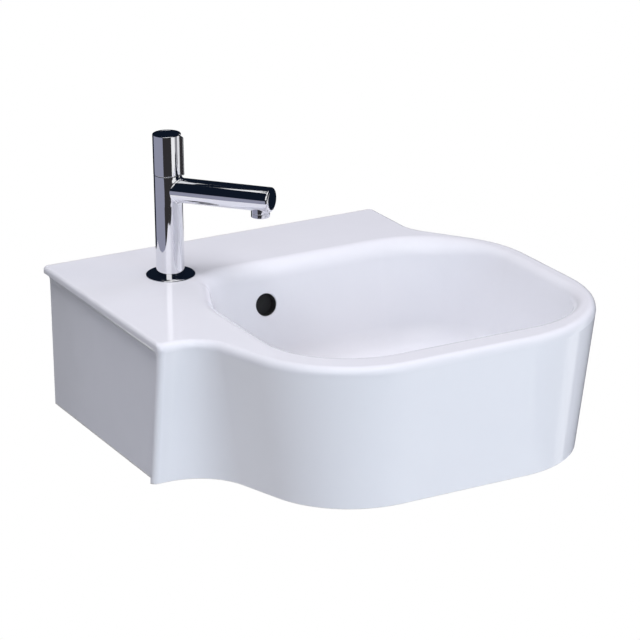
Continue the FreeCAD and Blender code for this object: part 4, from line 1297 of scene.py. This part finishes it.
def card(name, start, end, low, high, colour, reach=1.4):
    """A curved card round the tap between two bearings and two heights."""
    bearings = [start + (end - start) * step / 24 for step in range(25)]
    plan = [(reach * sine(bearing) + TAP_X, reach * cosine(bearing) + TAP_Y) for bearing in bearings]
    stretched(name, [(*spot, low) for spot in plan], [(*spot, high) for spot in plan], colour)


card("dark_card_front", 170, 239, CARDS_LOW, EYE, CHARCOAL)
card("lilac_card_left", 239, 334, CARDS_LOW, EYE, LILAC)
card("dark_card_rear", 334, 458, CARDS_LOW, EYE, NAVY)
card("grey_card_right", 113, 139, CARDS_LOW, EYE, GREY)
card("dark_card_high", 0, 360, EYE, ROOF, NAVY)
card("white_card_front", 198, 238, 0.40, 0.80, WHITE, 1.3)
card("white_card_above", 170, 240, 0.80, ROOF, WHITE, 1.3)
card("white_card_end", 155, 172, 0.26, 0.46, WHITE, 1.3)
hung(plain_plane("dark_roof", (TAP_X, TAP_Y, ROOF), (0, 0, -1), 3.0, 3.0), NAVY)
roof_front = plain_plane("white_roof_front", (TAP_X + 0.05, TAP_Y - 0.70, UNDER_ROOF), (0, 0, -1), 1.1, 1.0)
hung(roof_front, WHITE)


def seen_in_spout(reach, facing):
    """The place under the roof that the camera finds in the spout at a reach along it and a turn."""
    normal = Vector((0, -cosine(facing), sine(facing)))
    spot = TAP_FRAME @ ((Vector((reach, 0, SPOUT_HEIGHT)) + SPOUT * normal) * MM)
    normal = TAP_FRAME.to_3x3() @ normal
    sight = (spot - STAND).normalized()
    bounced = sight - 2 * sight.dot(normal) * normal
    return spot + bounced * ((UNDER_ROOF - spot.z) / bounced.z)


def strip(name, *edges):
    """A white card whose reflection in the spout runs between two turns at each reach."""
    low = [seen_in_spout(reach, first) for reach, first, _ in edges]
    high = [seen_in_spout(reach, second) for reach, _, second in edges]
    stretched(name, low, high, WHITE)


strip("white_strip_root", (12, 56, 63), (24, 56.5, 62), (34, 58, 61.5), (42, 59.5, 60.3))
strip("white_strip_end", (62, 48.4, 49.4), (74, 47, 50.5), (92, 47, 53), (116, 46, 58))


def lamp(name, stand, power, colour):
    """A square soft lamp at a place, aimed at the middle of the basin."""
    light = bpy.data.lights.new(name, "AREA")
    light.size = 1.2
    light.energy = power
    light.color = colour
    made = bpy.data.objects.new(name, light)
    made.location = stand
    made.rotation_euler = (Vector((0, -0.2, 0)) - Vector(stand)).to_track_quat("-Z", "Y").to_euler()
    made.visible_glossy = False
    bpy.context.scene.collection.objects.link(made)


COOL = (0.81, 0.90, 1.0)
VIOLET = (0.79, 0.79, 1.0)
SOFT = (0.945, 0.93, 1.0)
WARM = (1.0, 0.84, 0.82)
lamp("right_front_lamp", (1.7, -1.4, 1.5), 8.8, WARM)
lamp("camera_side_lamp", (-1.4, -2.4, 1.6), 8.8, VIOLET)
lamp("front_lamp", (0.4, -2.8, 0.4), 29.5, COOL)
lamp("upper_left_lamp", (-0.7, -0.3, 2.4), 41.9, SOFT)
lamp("upper_rear_lamp", (0.2, 0.9, 2.2), 8.8, SOFT)
lamp("right_side_lamp", (2.3, 0.3, 0.7), 18.5, VIOLET)

camera = bpy.data.objects.new("camera", bpy.data.cameras.new("camera"))
camera.data.lens = LENS
camera.data.sensor_width = 36
camera.data.clip_start = 0.05
forward = Vector((sine(BEARING) * cosine(PITCH), cosine(BEARING) * cosine(PITCH), -sine(PITCH)))
sideways = Vector((cosine(BEARING), -sine(BEARING), 0))
up = sideways.cross(forward)
across = sideways * cosine(-ROLL) + up * sine(-ROLL)
upright = up * cosine(-ROLL) - sideways * sine(-ROLL)
turn = Matrix((across, upright, -forward)).transposed().to_4x4()
camera.matrix_world = Matrix.Translation(STAND) @ turn
bpy.context.scene.collection.objects.link(camera)
bpy.context.scene.camera = camera
bpy.context.scene.view_settings.view_transform = "Standard"
